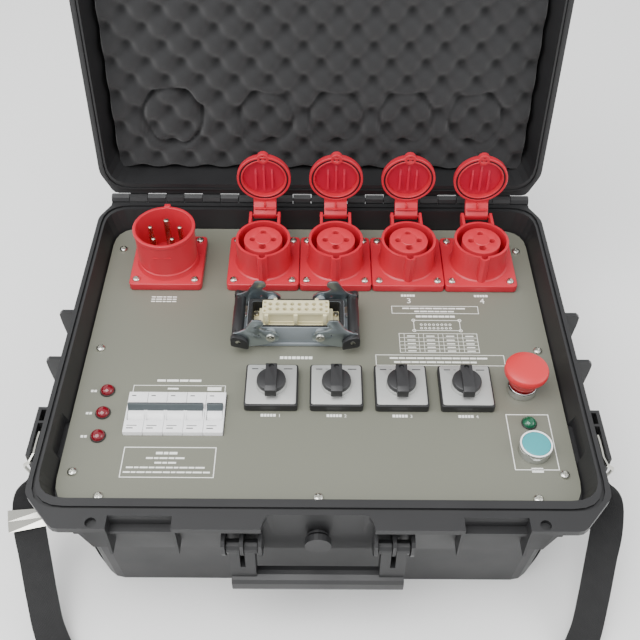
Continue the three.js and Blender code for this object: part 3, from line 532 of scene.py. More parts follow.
def hole_places(x, y):
    """The four holes of an insert as (x, y, radius), the earth hole first."""
    places = []
    for k in range(4):
        angle = math.radians(90 * k - 90)
        places.append((x + PITCH_R * math.cos(angle), y + PITCH_R * math.sin(angle), 3.0 if k else 3.7))
    return places


sleeves = []
for number, (x, y) in enumerate(SOCKETS, 1):
    drum = turned((x, y, PANEL), [(19.7, -38), (19.7, 38.6)], 80)
    drills = [turned((hx, hy, PANEL), [(r, 8), (r, 42)], 24) for hx, hy, r in hole_places(x, y)]
    soften(cut(drum, *drills), 0.5, 2, 40)
    step = turned((x, y, PANEL), [(8.2, 38), (8.2, 39.1), (7.6, 39.5)], 48)
    finish(gather(drum, step), f"socket_drum_{number}", M["red insert"],
           nodes=[f"socket_insert_{number}"])
    for hx, hy, r in hole_places(x, y):
        sleeve = [(r - 0.2, 10), (r - 0.2, 31), (r - 0.7, 31.4), (r - 0.9, 31), (r - 0.9, 12)]
        sleeves.append(turned((hx, hy, PANEL), sleeve, 20))
print(len(sleeves), "sleeves in four inserts")
finish(gather(*sleeves), "socket_sleeves", M["pin"])

# %% [markdown]
# ## Socket flaps
# A flap is drawn closed, with its hinge at the origin, and then swung up, because its groove and well
# are easier to turn when its axis is upright. Its face has a groove with a seal, and a shallow well
# with three ribs that stiffen it. One flap is modelled and copied to the four sockets.

# %% socket flaps
LIFT = 6.3
NOSE = 25.6


def swing_up(obj, x, y):
    """Opens a flap by a quarter turn about its pin and puts it on its socket."""
    obj.data.transform(Matrix.Rotation(math.radians(-90), 4, "X"))
    obj.data.transform(Matrix.Translation((x * MM, (y + PIN_BACK) * MM, (PANEL + PIN_UP) * MM)))
    return obj


def flap_cap():
    """The flap's cap with its grooved rim, the bump over the keyway, and the arm to its pin."""
    cap = turned((0, -PIN_BACK, LIFT), [
        (12, 8.9), (25, 8.2), (27.2, 7), (27.9, 5.5), (27.9, 0.4), (27.5, 0), (26, 0), (25.6, 0.3),
        (25.6, 1.6), (23.8, 1.6), (23.8, 0.3), (23.5, 0), (22.6, 0), (22.2, 0.4), (21.9, 6.4),
    ], 96)
    bump = turned((0, -PIN_BACK - NOSE, LIFT), [
        (5.2, 6.2), (6, 5.6), (6, 0.2), (5.6, -0.15), (3.5, -0.15), (3.2, 0.2), (3.2, 3),
    ], 32)
    plug = turned((0, -PIN_BACK - NOSE, LIFT), [(2.2, 3), (2.2, 0.8), (1.8, 0.4)], 24)
    side = [
        (-19.5, LIFT + 0.6), (-19.5, LIFT + 6.8), (-10, LIFT + 6), (3.2, 3), (3.4, -2), (0.5, -2.9),
        (-3, -2.8), (-13.2, LIFT + 0.5),
    ]
    arm = soften(cut(plate(side, 1.2, -12, 12, "YZ"), rod((-13, 0, 0), (13, 0, 0), 1.9)), 0.4)
    web = soften(block(-0.9, 0.9, -14.6, -5, 0.4, LIFT - 1.5), 0.3)
    bar = soften(block(-11, 11, -9.4, -8, -0.6, 2.4), 0.3)
    return gather(soften(gather(cap, bump, plug), 0.05, 1, 60), arm, web, bar)


def flap_well():
    """The crimson floor of the cap with its three stiffening ribs, the middle one the tallest."""
    floor = turned((0, -PIN_BACK, LIFT), [(21.8, 5.6), (21.8, 6.2)], 96)
    ribs = []
    for dx, near, far in ((-8.5, 10, 14), (0, 15, 15.5), (8.5, 10, 14)):
        outline = [(-near, 5.8), (far, 5.8), (far, 1.6), (-near + 6, 3.6)]
        outline = [(-PIN_BACK + along, LIFT + up) for along, up in outline]
        ribs.append(soften(plate(outline, 0.8, dx - 1.1, dx + 1.1, "YZ"), 0.5, 3))
    return gather(floor, *ribs)


master_cap = flap_cap()
master_well = flap_well()
master_seal = hoop((0, -PIN_BACK, LIFT), 24.0, 25.4, 0.5, 1.4)
for number, (x, y) in enumerate(SOCKETS, 1):
    cap = swing_up(copy_to(master_cap, 0, 0), x, y)
    finish(cap, f"flap_{number}_cap", M["red"], f"flap_{number}", [f"socket_flap_{number}"])
    seal = swing_up(copy_to(master_seal, 0, 0), x, y)
    finish(seal, f"flap_{number}_seal", M["seal"], f"flap_{number}")
    well = swing_up(copy_to(master_well, 0, 0), x, y)
    finish(well, f"flap_{number}_well", M["well"], f"flap_{number}")
for spare in (master_cap, master_seal, master_well):
    bpy.data.objects.remove(spare)
print("four flaps, each", len(cap.data.polygons), "faces")

# %% [markdown]
# ## Mains inlet
# The inlet is the other way round: the shroud is wide, and five pins stand in it. The pin at the back
# is the earth and is thicker. A nub on the rim locks the plug's lid. The shroud is turned solid and
# then bored, which leaves an even wall under its stepped rim.

# %% mains inlet
x, y = INLET
shroud = turned((x, y, PANEL), [
    (25.5, -30), (25.5, 4), (33, 8), (31.6, 10), (31.2, 14.5), (30, 15.5), (30.6, 50), (31.7, 51.5),
    (31.7, 55),
], 96)
cut(shroud, turned((x, y, PANEL), [(28.4, 8), (28.4, 57)], 96))
soften(shroud, 0.6, 3, 30)
nub = soften(block(x - 3.2, x + 3.2, y + 28.6, y + 34.4, PANEL + 39, PANEL + 56.4), 1.0, 3)
mark = block(x - 9, x + 9, y - 30.6, y - 29.6, PANEL + 38, PANEL + 38.7)
finish(gather(flange(x, y), shroud, nub, mark), "inlet_shroud", M["red"],
       nodes=["inlet_housing"])

drum = soften(turned((x, y, PANEL), [(19.3, -38), (19.3, 7.5), (18.8, 8.3)], 64), 0.2)
finish(drum, "inlet_drum", M["red insert"], nodes=["inlet_insert"])
PIN_COUNT, PIN_CIRCLE = 5, 16
pins = []
for k in range(PIN_COUNT):
    angle = math.radians(90 + 360 / PIN_COUNT * k)
    r = 3.2 if k == 0 else 2.4
    at = (x + PIN_CIRCLE * math.cos(angle), y + PIN_CIRCLE * math.sin(angle), PANEL)
    pins.append(turned(at, [(r, 7.6), (r, 48.6), (r * 0.86, 50), (r * 0.5, 50.6)], 24))
finish(soften(gather(*pins), 0.1), "inlet_pins", M["pin"])
print(PIN_COUNT, "pins in the inlet")

# %% [markdown]
# ## Sixteen-way connector
# A die-cast wall stands on a flange, with a seal on its rim; a thin dark sheet inside it is painted
# shade in the gap around the insert. The cream insert holds two rows of eight contacts. Each of its
# outlines is a plain rectangle, so it is built of plates and blocks, and the contact holes are drilled
# through the tower.

# %% connector housing and insert
x, y = CONNECTOR
STUD_OUT, STUD_Z = 23.7, PANEL + 20
foot = soften(plate(square(x, y, 56, 21), 4, SEAT, FOOT_TOP), 0.6)
hollow = plate(square(x, y, 43.5, 16.2), 3, PANEL - 1, PANEL + 28)
wall = cut(plate(square(x, y, 47, 19), 4, PANEL + 2, PANEL + 25.4), hollow)


def outward(sx, sy, near, far, r):
    """A round bar out from one of the connector's long sides, on a lever's axis."""
    px = x + sx * STUD_OUT
    return rod((px, y + sy * near, STUD_Z), (px, y + sy * far, STUD_Z), r)


studs = [soften(outward(*corner, 17, 24.6, 4.8), 0.4) for corner in CORNERS]
finish(gather(foot, soften(wall, 0.8, 3), *studs), "connector_wall", M["die cast"],
       nodes=["connector_housing"])
seal_hole = plate(square(x, y, 43.6, 16.3), 3, PANEL + 24, PANEL + 27)
seal = cut(plate(square(x, y, 46.4, 18.4), 4, PANEL + 25.2, PANEL + 26), seal_hole)
# painted shade: a thin near-black sheet in the rubber finish lines the inside of the wall, where the gap
# around the insert lies in shadow
gap_shade_hole = plate(square(x, y, 42.4, 15.5), 3, PANEL + 11, PANEL + 26)
gap_shade_sheet = cut(plate(square(x, y, 43.4, 16.1), 3, PANEL + 12.2, PANEL + 25), gap_shade_hole)
finish(gather(seal, gap_shade_sheet), "connector_seal_and_gap_shade", M["rubber"])
rivets = []
for corner in CORNERS:
    rivets += [soften(outward(*corner, 24, 28.8, 4.4), 0.7, 3), outward(*corner, 28, 29, 1.8)]
finish(gather(*rivets), "lever_rivets", M["screw"])

base = soften(block(x - 42, x + 42, y - 15.4, y + 15.4, PANEL - 12, PANEL + 12), 0.4)
tower = plate(square(x, y, 32, 8.4), 1.5, PANEL + 11, PANEL + 34.6)
WAYS, WAY_PITCH = 8, 7
places = [(x + (k - (WAYS - 1) / 2) * WAY_PITCH, y + row * 3.3) for k in range(WAYS) for row in (-1, 1)]
ends = [(x + sx * 29.6, y + dy) for sx in (-1, 1) for dy in (-5.6, 0, 5.6)]
drills = [turned((px, py, PANEL), [(2.1, 29), (2.1, 36)], 20) for px, py in places]
drills += [turned((px, py, PANEL), [(1.5, 31), (1.5, 36)], 16) for px, py in ends]


def upright(dx, half, y0, y1, z0, z1):
    """A block of the insert, dx from its middle and 2 * half wide."""
    return block(x + dx - half, x + dx + half, y + y0, y + y1, PANEL + z0, PANEL + z1)


windows = [upright(dx, 11.6, -9.4, -7.4, 21.5, 31.6) for dx in (-14, 14)]
soften(cut(tower, *drills, *windows), 0.25)
ribs = [soften(upright(dx, 1.8, -11, -8, 11, 33), 0.3) for dx in (-28, 0, 28)]
keys = [soften(upright(dx, 1.7, 7, 11.8, 11, 34.4), 0.4) for dx in (-20, 20)]
shelf = soften(upright(0, 36, -12.5, 12.5, 11, 19), 0.4)
insert = gather(base, tower, *ribs, *keys, shelf)
finish(insert, "connector_block", M["cream"], nodes=["connector_insert"])
CONTACT = [(1.6, 29.1), (1.6, 31.4), (1.0, 31.6), (0.9, 30.0)]
contacts = [turned((*place, PANEL), CONTACT, 16) for place in places]
contacts += [turned((x + sx * 39, y + sy * 10, PANEL), [(2.4, 12), (2.4, 14.5), (1.9, 15)], 20)
             for sx, sy in CORNERS]
finish(gather(*contacts), "connector_contacts", M["pin"])
print(len(places), "contacts in the connector")

# %% [markdown]
# A lever is a pair of pressed steel plates with a grip moulded between them. Its hooked outline is drawn
# once, as seen along the axis of its studs, and mirrored for the other lever. An outline is quicker to
# shape than a bent bar, and both plates come from it alike.

# %% levers
ARM = 25
SHEET = 2
OUTLINE = [
    (-36, -7.5), (-19.7, -13.5), (-2, -9), (7.5, -4), (8, 2), (2, 7.4), (-6, 8.6), (-11.3, 12.5),
    (-7.5, 15), (-5.6, 18), (-8, 22.4), (-16.7, 22.6), (-24, 10), (-31, 5.5), (-36, 5),
]
OUTER_CAP = [(-38, -8), (-21, -12.6), (-22, -2), (-27, 3), (-35, 5.5), (-38, 3)]
INNER_CAP = [(-38, -7), (-29, -9), (-27, 3), (-35, 5.2)]
INSET = [(-37.9, -4.5), (-34, -5.5), (-34, 2.5), (-37.4, 2)]


def upright_plate(outline, sx, r, low, thick):
    """A plate of a lever's outline, which faces along y; sx is the lever's side."""
    points = [(x + sx * (STUD_OUT - along), STUD_Z + up) for along, up in outline]
    return plate(points, r, low, low + thick, "XZ")


for sx, side in ((-1, "left"), (1, "right")):
    px = x + sx * STUD_OUT
    body = f"lever_{side}"
    plates = []
    for low in (y - ARM - SHEET, y + ARM):
        hole = rod((px + sx * 11, low - 1, STUD_Z + 3), (px + sx * 11, low + 3, STUD_Z + 3), 1.1, 16)
        plates.append(soften(cut(upright_plate(OUTLINE, sx, 2.2, low, SHEET), hole), 0.3))
    finish(gather(*plates), f"{body}_plates", M["zinc"], body, [body])
    grip_x, grip_z = px + sx * 32, STUD_Z - 1
    bar = rod((grip_x, y - ARM - 0.5, grip_z), (grip_x, y + ARM + 0.5, grip_z), 5.6)
    caps = [soften(upright_plate(OUTER_CAP, sx, 2.5, low, 5), 0.7, 3)
            for low in (y - ARM - 7, y + ARM + SHEET)]
    caps += [soften(upright_plate(INNER_CAP, sx, 2.5, low, 4), 0.6)
             for low in (y - ARM + 0.2, y + ARM - 4.2)]
    finish(gather(soften(bar, 0.4), *caps), f"{body}_grip", M["black"], body)
    inset = soften(upright_plate(INSET, sx, 1.0, y - 13, 26), 0.4)
    finish(inset, f"{body}_inset", M["maroon"], body)
    axle_x, axle_z = px + sx * 31, STUD_Z - 2
    ends = [(y + s * (ARM + 6.5), y + s * (ARM + 7)) for s in (-1, 1)]
    axle = [soften(rod((axle_x, a, axle_z), (axle_x, b, axle_z), 2.6, 24), 0.2) for a, b in ends]
    finish(gather(*axle), f"{body}_axle", M["screw"], body)
print("two levers on studs", STUD_OUT, "mm from the connector's middle")

# %% [markdown]
# ## Cam switches
# Each has a black base, a satin plate with its legend, a raised collar and a bar knob. The hole at the
# knob's rear end is the pointer. Disc and bar overlap and are only joined, because their seam is hidden
# in the corner between them.

# %% cam switches
FACE_TOP = PANEL + 9.5
legend = []
for number, (x, y) in enumerate(SWITCHES, 1):
    base = plate(square(x, y, 24.5), 3, SEAT, PANEL + 8.5)
    stack = block(x - 22, x + 22, y - 22, y + 22, PANEL - 47, PANEL - 3.4)
    neck = turned((x, y, PANEL), [(8.6, -4), (8.6, 1)], 32)
    finish(gather(soften(base, 0.8, 3), stack, neck), f"switch_base_shell_{number}", M["black"],
           nodes=[f"switch_base_{number}"])
    face = plate(square(x, y, 23), 2.5, PANEL + 8.6, FACE_TOP)
    collar = turned((x, y, PANEL), [(14.2, 9.2), (14.2, 11), (13.4, 12.8), (11, 12.8), (11, 10)], 64)
    finish(gather(soften(face, 0.25), soften(collar, 0.2)), f"switch_face_{number}", M["silver"],
           nodes=[f"switch_plate_{number}"])
    disc = turned((x, y, PANEL), [
        (4, -5), (4, 13.2), (13.5, 13.2), (13.6, 14.5), (13.2, 17.4), (12.2, 17.9),
    ], 64)
    side = [(y + along, PANEL + up) for along, up in (
        (-17.7, 13.4), (15.6, 13.4), (15, 21.6), (13.6, 22.7), (-12, 22.7), (-17.2, 21.2),
    )]
    pointer = turned((x, y + 11.4, PANEL), [(2.5, 19.5), (2.5, 24)], 24)
    bar = cut(plate(side, 0.8, x - 5.2, x + 5.2, "YZ"), pointer)
    knob = gather(soften(disc, 0.3), soften(bar, 0.45, 3))
    finish(knob, f"switch_handle_{number}", M["knob"], f"knob_{number}",
           [f"switch_knob_{number}"])
    for x0, x1, y0, y1 in ((-19, -13, 17.6, 18.6), (11, 19, 17.6, 18.6), (-10, -7.6, 17.9, 18.3)):
        legend.append(block(x + x0, x + x1, y + y0, y + y1, FACE_TOP, FACE_TOP + 0.06))
print(len(SWITCHES), "cam switches with", len(legend), "legend marks")
finish(gather(*legend), "switch_legends", M["dark ink"])

# %% [markdown]
# ## Push-buttons and lamps
# The emergency button flares from its neck to a wide mushroom. The start button sits level with its
# chrome ring. The lamps are low domes in dark bezels. All are round about an upright axis, so each is
# one turned outline.

# %% push-buttons and lamps
x, y = ESTOP
ring = turned((x, y, PANEL), [
    (10.9, -3), (10.9, 0.3), (13.8, 0.3), (13.8, 6.8), (13, 8.6), (9.4, 8.6), (9.2, 2),
], 64)
finish(soften(ring, 0.3), "estop_ring", M["chrome"], nodes=["estop_body"])
head = turned((x, y, PANEL), [
    (8, -9), (8, 12), (13.4, 12.4), (14.6, 17), (16.8, 21.5), (19.3, 24.6), (20, 26.6), (19.9, 30),
    (19.2, 31.6), (17.6, 32.6), (12, 33.8), (6, 34.3), (2, 34.4),
], 96)
finish(soften(head, 0.2), "estop_mushroom", M["estop"], "estop", ["estop_button"])

x, y = START
ring = turned((x, y, PANEL), [
    (10.9, -3), (10.9, 0.3), (14.3, 0.3), (14.3, 8.4), (14, 9.8), (13.4, 10.6), (12.9, 10.4), (12.9, 1),
], 64)
finish(soften(ring, 0.15), "start_ring", M["chrome"], nodes=["start_body"])
cap = turned((x, y, PANEL), [(8.8, -9), (8.8, 4), (12.5, 4), (12.5, 10.6), (12.1, 11.2), (11.2, 11.45)], 64)
finish(soften(cap, 0.15), "start_cap", M["teal"], "start", ["start_button"])
# painted highlight: a white band in the breakers' white finish covers the chrome ring's top lip and stands in
# for the polished lip's bright edge
band = hoop((x, y, PANEL), 12.7, 14.2, 10.0, 11.1)
finish(soften(band, 0.3), "start_rim_painted_highlight", M["white"])


def lamp(node, lens_name, name):
    """Puts a lamp's dome over its frame piece and returns the collar around it."""
    at = (*centre(node)[:2], PANEL)
    dome = turned(at, [
        (4.8, -22), (4.8, 0.3), (6.3, 0.3), (6.3, 1.9), (5.9, 3.2), (4.8, 4.6), (3, 5.6), (1, 6),
    ], 48)
    finish(soften(dome, 0.1), name, M[lens_name], nodes=[node])
    return turned(at, [(7, 0.3), (7, 1.2), (6.6, 1.6), (6.35, 1.6), (6.35, 0.6)], 48)


collars = [lamp(f"lamp_red_{k}", "red lens", f"red_lens_{k}") for k in (1, 2, 3)]
collars.append(lamp("lamp_green", "green lens", "green_lens"))
print(len(collars), "lamps")
finish(gather(*collars), "lamp_collars", M["black"])

# %% [markdown]
# ## Circuit breakers
# Breakers are built in modules 17.9 mm wide. Five modules stand side by side on their rail: four make
# the main breaker with one shared toggle bar, and the fifth is the control breaker. A toggle is a drum
# in a window, with a blade that leans back by 25 degrees.

# %% circuit breakers
MODULE, SHARE = 17.9, 0.15
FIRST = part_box("main_breaker")[0][0] / MM - SHARE
BACK, FRONT = -57.1, -102.6
MIDDLE = (BACK + FRONT) / 2
NOSE_TOP = PANEL + 4.5


def module(k):
    """One breaker module: a nose with a window for the toggle, on a wider body under the panel."""
    x0, x1 = FIRST + k * MODULE + SHARE, FIRST + (k + 1) * MODULE - SHARE
    nose = block(x0, x1, FRONT, BACK, PANEL - 30, NOSE_TOP)
    cut(nose, block(x0 + 1.5, x1 - 1.5, MIDDLE - 9.2, MIDDLE + 9.2, PANEL - 14, PANEL + 6))
    body = block(x0, x1, MIDDLE - 42.5, MIDDLE + 42.5, PANEL - 63, PANEL - 25)
    return gather(soften(nose, 0.5), soften(body, 0.4))


main_case = gather(*[module(k) for k in range(4)])
finish(main_case, "main_breaker_case", M["white"], nodes=["main_breaker"])
finish(module(4), "control_breaker_case", M["white"], nodes=["control_breaker"])


def toggle(first, last, name, node):
    """A white drum with a leaning dark blade, across the modules from first up to last."""
    x0, x1 = FIRST + first * MODULE + 2.2, FIRST + last * MODULE - 2.2
    axis = PANEL - 4
    lean = math.radians(25)
    drum = rod((x0, MIDDLE, axis), (x1, MIDDLE, axis), 8.2, 64)
    out, across = Vector((math.sin(lean), math.cos(lean))), Vector((math.cos(lean), -math.sin(lean)))
    corners = [out * up + across * half for up, half in ((6, 2.2), (14.6, 1.7), (14.6, -1.7), (6, -2.2))]
    blade = plate([(MIDDLE + p.x, axis + p.y) for p in corners], 0.8, x0 - 0.6, x1 + 0.6, "YZ")
    finish(soften(drum, 0.3), f"{name}_drum", M["white"], node, [node])
    finish(soften(blade, 0.5, 3), f"{name}_blade", M["dark toggle"], node, [node])


toggle(0, 4, "main_toggle_bar", "main_toggle")
toggle(4, 5, "control_toggle_bar", "control_toggle")
marks = []
for k in range(5):
    x0 = FIRST + k * MODULE + 3
    for long, y0, y1 in ((6, FRONT + 4, FRONT + 5), (9, FRONT + 7, FRONT + 7.7), (4, BACK - 5, BACK - 4)):
        marks.append(block(x0, x0 + long, y0, y1, NOSE_TOP, NOSE_TOP + 0.05))
print("breaker modules", MODULE, "mm wide, with", len(marks), "marks")
finish(gather(*marks), "breaker_marks", M["dark ink"])

# %% [markdown]
# ## Printing on the panel
# The ink is a film a twentieth of a millimetre thick. It could be a mask in the panel's material, but
# as thin solids it keeps its edges from near by, and every mark has a size. Frames, rules and bars stand
# for the wording. Only plain numerals are kept: they number two sockets and the four switches.

# %% printing
INK = (PANEL + 0.01, PANEL + 0.07)


def bar_print(x0, x1, y0, y1):
    """One bar of ink."""
    return block(x0, x1, y0, y1, *INK)


def frame_print(x0, x1, y0, y1, line=0.8):
    """A rectangle of four lines."""
    return [bar_print(x0, x1, y0, y0 + line), bar_print(x0, x1, y1 - line, y1),
            bar_print(x0, x0 + line, y0 + line, y1 - line), bar_print(x1 - line, x1, y0 + line, y1 - line)]


def words(x0, x1, y, height=2.2, gap=1.6, lengths=(6, 9, 4, 7)):
    """A line of bars of changing length, where a line of wording would be."""
    bars, x, k = [], x0, 0
    while x + lengths[k % len(lengths)] <= x1:
        bars.append(bar_print(x, x + lengths[k % len(lengths)], y, y + height))
        x += lengths[k % len(lengths)] + gap
        k += 1
    return bars


def numeral(text, x, y, size):
    """A figure made from a font and turned into a thin solid."""
    bpy.ops.object.text_add(location=(x * MM, y * MM, INK[0] * MM))
    obj = bpy.context.object
    obj.data.body = text
    obj.data.size = size * MM
    obj.data.extrude = 0.02 * MM
    obj.data.align_x = "CENTER"
    bpy.ops.object.convert(target="MESH")
    return settle(bpy.context.object)


prints = frame_print(170.1, 209, -137, -77.1) + [bar_print(184.6, 194.7, -139.4, -134.6)]
prints += frame_print(-171.3, -89.9, -146.9, -115.3)
prints += frame_print(-173.2, -87.2, -54.6, -45.8, 0.6)
prints += [bar_print(-141, -131, -50.8, -48.9), bar_print(-104, -91, -52, -47.8)]
prints += words(-152, -108, -41.5, 2.6, 1.1, (8, 11))
for k, (x, y) in enumerate(SWITCHES, 1):
    prints += words(x - 9, x + 5.5, y - 30.4, 3, 0.6, (2.6, 2.2, 2, 2.2, 2.4))
    prints.append(numeral(str(k), x + 8.2, y - 30.6, 4.6))
for k, (x, y) in enumerate(SOCKETS[2:], 3):
    prints.append(numeral(str(k), x, y - 52.9, 10))
    prints += words(x - 7.6, x + 7.6, y - 43.8, 3, 0.5, (2.4, 2.6, 2.2))
x, y = CONNECTOR
prints += words(x - 15, x + 19, y - 37, 3.4, 0.8, (3.4, 3, 2.8, 3.6))
for row, (half, tall) in enumerate([(12, 2.6), (20, 1.8), (12, 1.8), (36, 1.6), (38, 1.6)]):
    prints += words(-130.6 - half, -130.6 + half, -123 - row * 4.8, tall, 0.9, (6, 4, 7, 5, 8))
for row in range(3):
    prints += words(-172, -140, 69 - row * 3.2, 1.3, 0.9, (4, 6, 3, 5))
LAMP_ROWS = (-53.3, -78.9, -104.5)
prints += [bar_print(x0, x0 + 2.4, y - 1.2, y + 1.4) for y in LAMP_ROWS for x0 in (-212, -208.9)]
print("printing, left part:", len(prints), "marks")

# %% [markdown]
# Right of the connector stand its diagram and a wiring table, between two framed notes. The table is
# ruled by loops, so that its rows and columns stay even.

# %% wiring table
prints += frame_print(73, 161, 48.4, 59, 0.6)
prints += words(84, 150, 54.8, 1.7, 0.8, (7, 9, 5)) + words(96, 138, 50.6, 1.7, 0.8, (5, 7, 6))
prints += words(97, 139, 43.2, 2.6, 0.7, (5, 6, 4)) + frame_print(94, 140.5, 25.2, 39.4, 0.6)
for k in range(WAYS):
    prints += [hoop((101.6 + k * 4.1, y, 0), 0.75, 1.4, *INK, 12) for y in (28.6, 33.4)]
prints += [hoop((x, y, 0), 1.2, 1.9, *INK, 16) for x in (94.2, 140.3) for y in (25.4, 39.2)]
LEFT, RIGHT, TABLE_FOOT, TABLE_HEAD = 78.5, 155.8, -3.5, 21.6
RULES = (1.2, 5.9, 10.6, 15.6)
prints += frame_print(LEFT, RIGHT, TABLE_FOOT, TABLE_HEAD, 0.5)
prints += [bar_print(LEFT, RIGHT, y, y + 0.4) for y in RULES]
prints += [bar_print(x, x + 0.4, TABLE_FOOT, TABLE_HEAD) for x in (83.5, 97.7, 102.5, 117, 121.7, 136, 141)]
for x in (86.5, 105.5, 125, 144):
    prints += [bar_print(x, x + 8, y + 1.6, y + 2.8) for y in (TABLE_FOOT, 1.2, 5.9, 10.6, 15.8)]
prints += frame_print(54.4, 178.5, -20, -6.4, 0.6)
prints += words(68, 164, -11.6, 2, 0.8, (8, 6, 10, 7)) + words(72, 160, -16.6, 2, 0.8, (6, 9, 7))
finish(gather(*prints), "panel_printing", M["ink"])
print("printing:", len(prints), "marks")

# %% [markdown]
# ## Lid foam
# Egg-crate foam is a sheet cut with a wave in both directions. Its block is a grid that is pushed in
# and out by two crossed cosines, which gives smooth peaks and pits at an even pitch. The inlet and the
# sockets have left round dents in it. It is drawn as in the closed lid, then swung open with it. It is
# glued in the lid and rides on it.

# %% lid foam
HINGE = Vector((0, 0.1992, 0.1553))
OPEN_ANGLE = math.radians(97.7)
LID = Matrix.Translation(HINGE) @ Matrix.Rotation(-OPEN_ANGLE, 4, "X") @ Matrix.Translation(-HINGE)
HALF_X, REAR, FRONT_EDGE, FACE, BACK_Z = 0.2235, 0.1745, -0.1700, 0.1775, 0.2105
WAVE, DEPTH = 0.036, 0.0125
bpy.ops.mesh.primitive_cube_add(size=2, location=(0, (REAR + FRONT_EDGE) / 2, (FACE + BACK_Z) / 2))
foam = bpy.context.object
foam.scale = (HALF_X, (REAR - FRONT_EDGE) / 2, (BACK_Z - FACE) / 2)
settle(foam)
apply_modifier(foam, "BEVEL", width=0.004, segments=3, limit_method="ANGLE", affect="EDGES")
apply_modifier(foam, "REMESH", mode="VOXEL", voxel_size=0.0028)
DENTS = [(*INLET, 32, 0.008)] + [(*place, 29, 0.0045) for place in SOCKETS]


def crate(x, y):
    """How far the foam's face stands back at a place, in metres: pits, and the round dents."""
    wave = math.cos(2 * math.pi * x / WAVE) * math.cos(2 * math.pi * y / WAVE)
    back = DEPTH * ((1 - wave) / 2) ** 1.5
    for dent_x, dent_y, radius, deep in DENTS:
        off = (math.hypot(x / MM - dent_x, y / MM - dent_y) - radius) / 2.6
        inside = 1 / (1 + math.exp(min(30, max(-30, off * 1.6))))
        back += deep * math.exp(-off * off) + 0.0018 * inside
    return back


def narrowing(z):
    """The foam's sides lean inwards with the lid's walls, towards the lid's top."""
    return 1 - 0.018 * max(0, (z - FACE) / (BACK_Z - FACE))


for vertex in foam.data.vertices:
    share = min(1, max(0, (BACK_Z - vertex.co.z) / (BACK_Z - FACE)))
    tight = narrowing(vertex.co.z)
    vertex.co.z += share * crate(vertex.co.x, vertex.co.y)
    vertex.co.x *= tight
    vertex.co.y *= tight
foam.data.transform(LID)
current(foam)
bpy.ops.object.shade_smooth()
finish(foam, "lid_foam_sheet", M["foam"], "lid", ["lid_foam"])
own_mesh(foam)
print("foam:", len(foam.data.polygons), "faces")

# %% [markdown]
# ## Strap
# Woven webbing hangs from two wire rings and lies in front of the case. Its path is the frame's own:
# a smooth curve through listed points, mirrored at the middle. A closed band is laid along it,
# because a cloth simulation would need the slider and the rings as well, and wouldn't come out the same.

# %% strap
ROUTE = [
    (253.8, -119, 111), (258, -124, 96), (262, -138, 82), (260, -158, 69), (253, -182, 54),
    (246, -208, 33), (238, -232, 13), (222, -256, 4), (190, -281, 2.2), (130, -301, 2.2), (60, -310, 2.2),
]
WIDTH = 28


def smooth_path(points, steps=24):
    """Points along a centripetal Catmull-Rom curve, the same number of steps between each two given points.
    """
    points = [Vector(p) for p in points]
    first, last = points[0] * 2 - points[1], points[-1] * 2 - points[-2]
    chain = [first] + points + [last]
    dense = []
    for i in range(1, len(chain) - 2):
        p0, p1, p2, p3 = chain[i - 1 : i + 3]
        a, b, c = [max((q - p).length ** 0.5, 1e-6) for p, q in ((p0, p1), (p1, p2), (p2, p3))]
        m1 = ((p1 - p0) / a - (p2 - p0) / (a + b) + (p2 - p1) / b) * b
        m2 = ((p2 - p1) / b - (p3 - p1) / (b + c) + (p3 - p2) / c) * b
        for step in range(steps):
            t = step / steps
            dense.append(p1 * (2 * t**3 - 3 * t**2 + 1) + m1 * (t**3 - 2 * t**2 + t)
                         + p2 * (3 * t**2 - 2 * t**3) + m2 * (t**3 - t**2))
    dense.append(points[-1])
    return dense


def evenly(points, count):
    """count + 1 points at equal distances along a chain of points."""
    lengths = [0.0]
    for a, b in zip(points, points[1:]):
        lengths.append(lengths[-1] + (b - a).length)
    out, k = [], 0
    for i in range(count + 1):
        want = lengths[-1] * i / count
        while k < len(lengths) - 2 and lengths[k + 1] < want:
            k += 1
        share = (want - lengths[k]) / max(lengths[k + 1] - lengths[k], 1e-9)
        out.append(points[k].lerp(points[k + 1], min(1, share)))
    return out, lengths[-1]


whole = ROUTE + [(-x, y, z) for x, y, z in reversed(ROUTE)]
STEPS = 400
middle_line, strap_length = evenly(smooth_path(whole), STEPS)


def across(i):
    """The direction of the strap's width at a step, and of its length."""
    t = 0.004 + 0.992 * i / STEPS
    ahead, behind = middle_line[min(i + 1, STEPS)], middle_line[max(i - 1, 0)]
    tangent = (ahead - behind).normalized()
    from_end = min(t, 1 - t) * 2
    turn = min(1, from_end / 0.2) * math.pi / 2
    side = 1 if t < 0.5 else -1
    wish = Vector((-side * math.sin(turn), math.cos(turn), 0))
    if from_end > 0.45:
        wish = tangent.cross(Vector((0, 0, 1)))
    return (wish - tangent * wish.dot(tangent)).normalized(), tangent


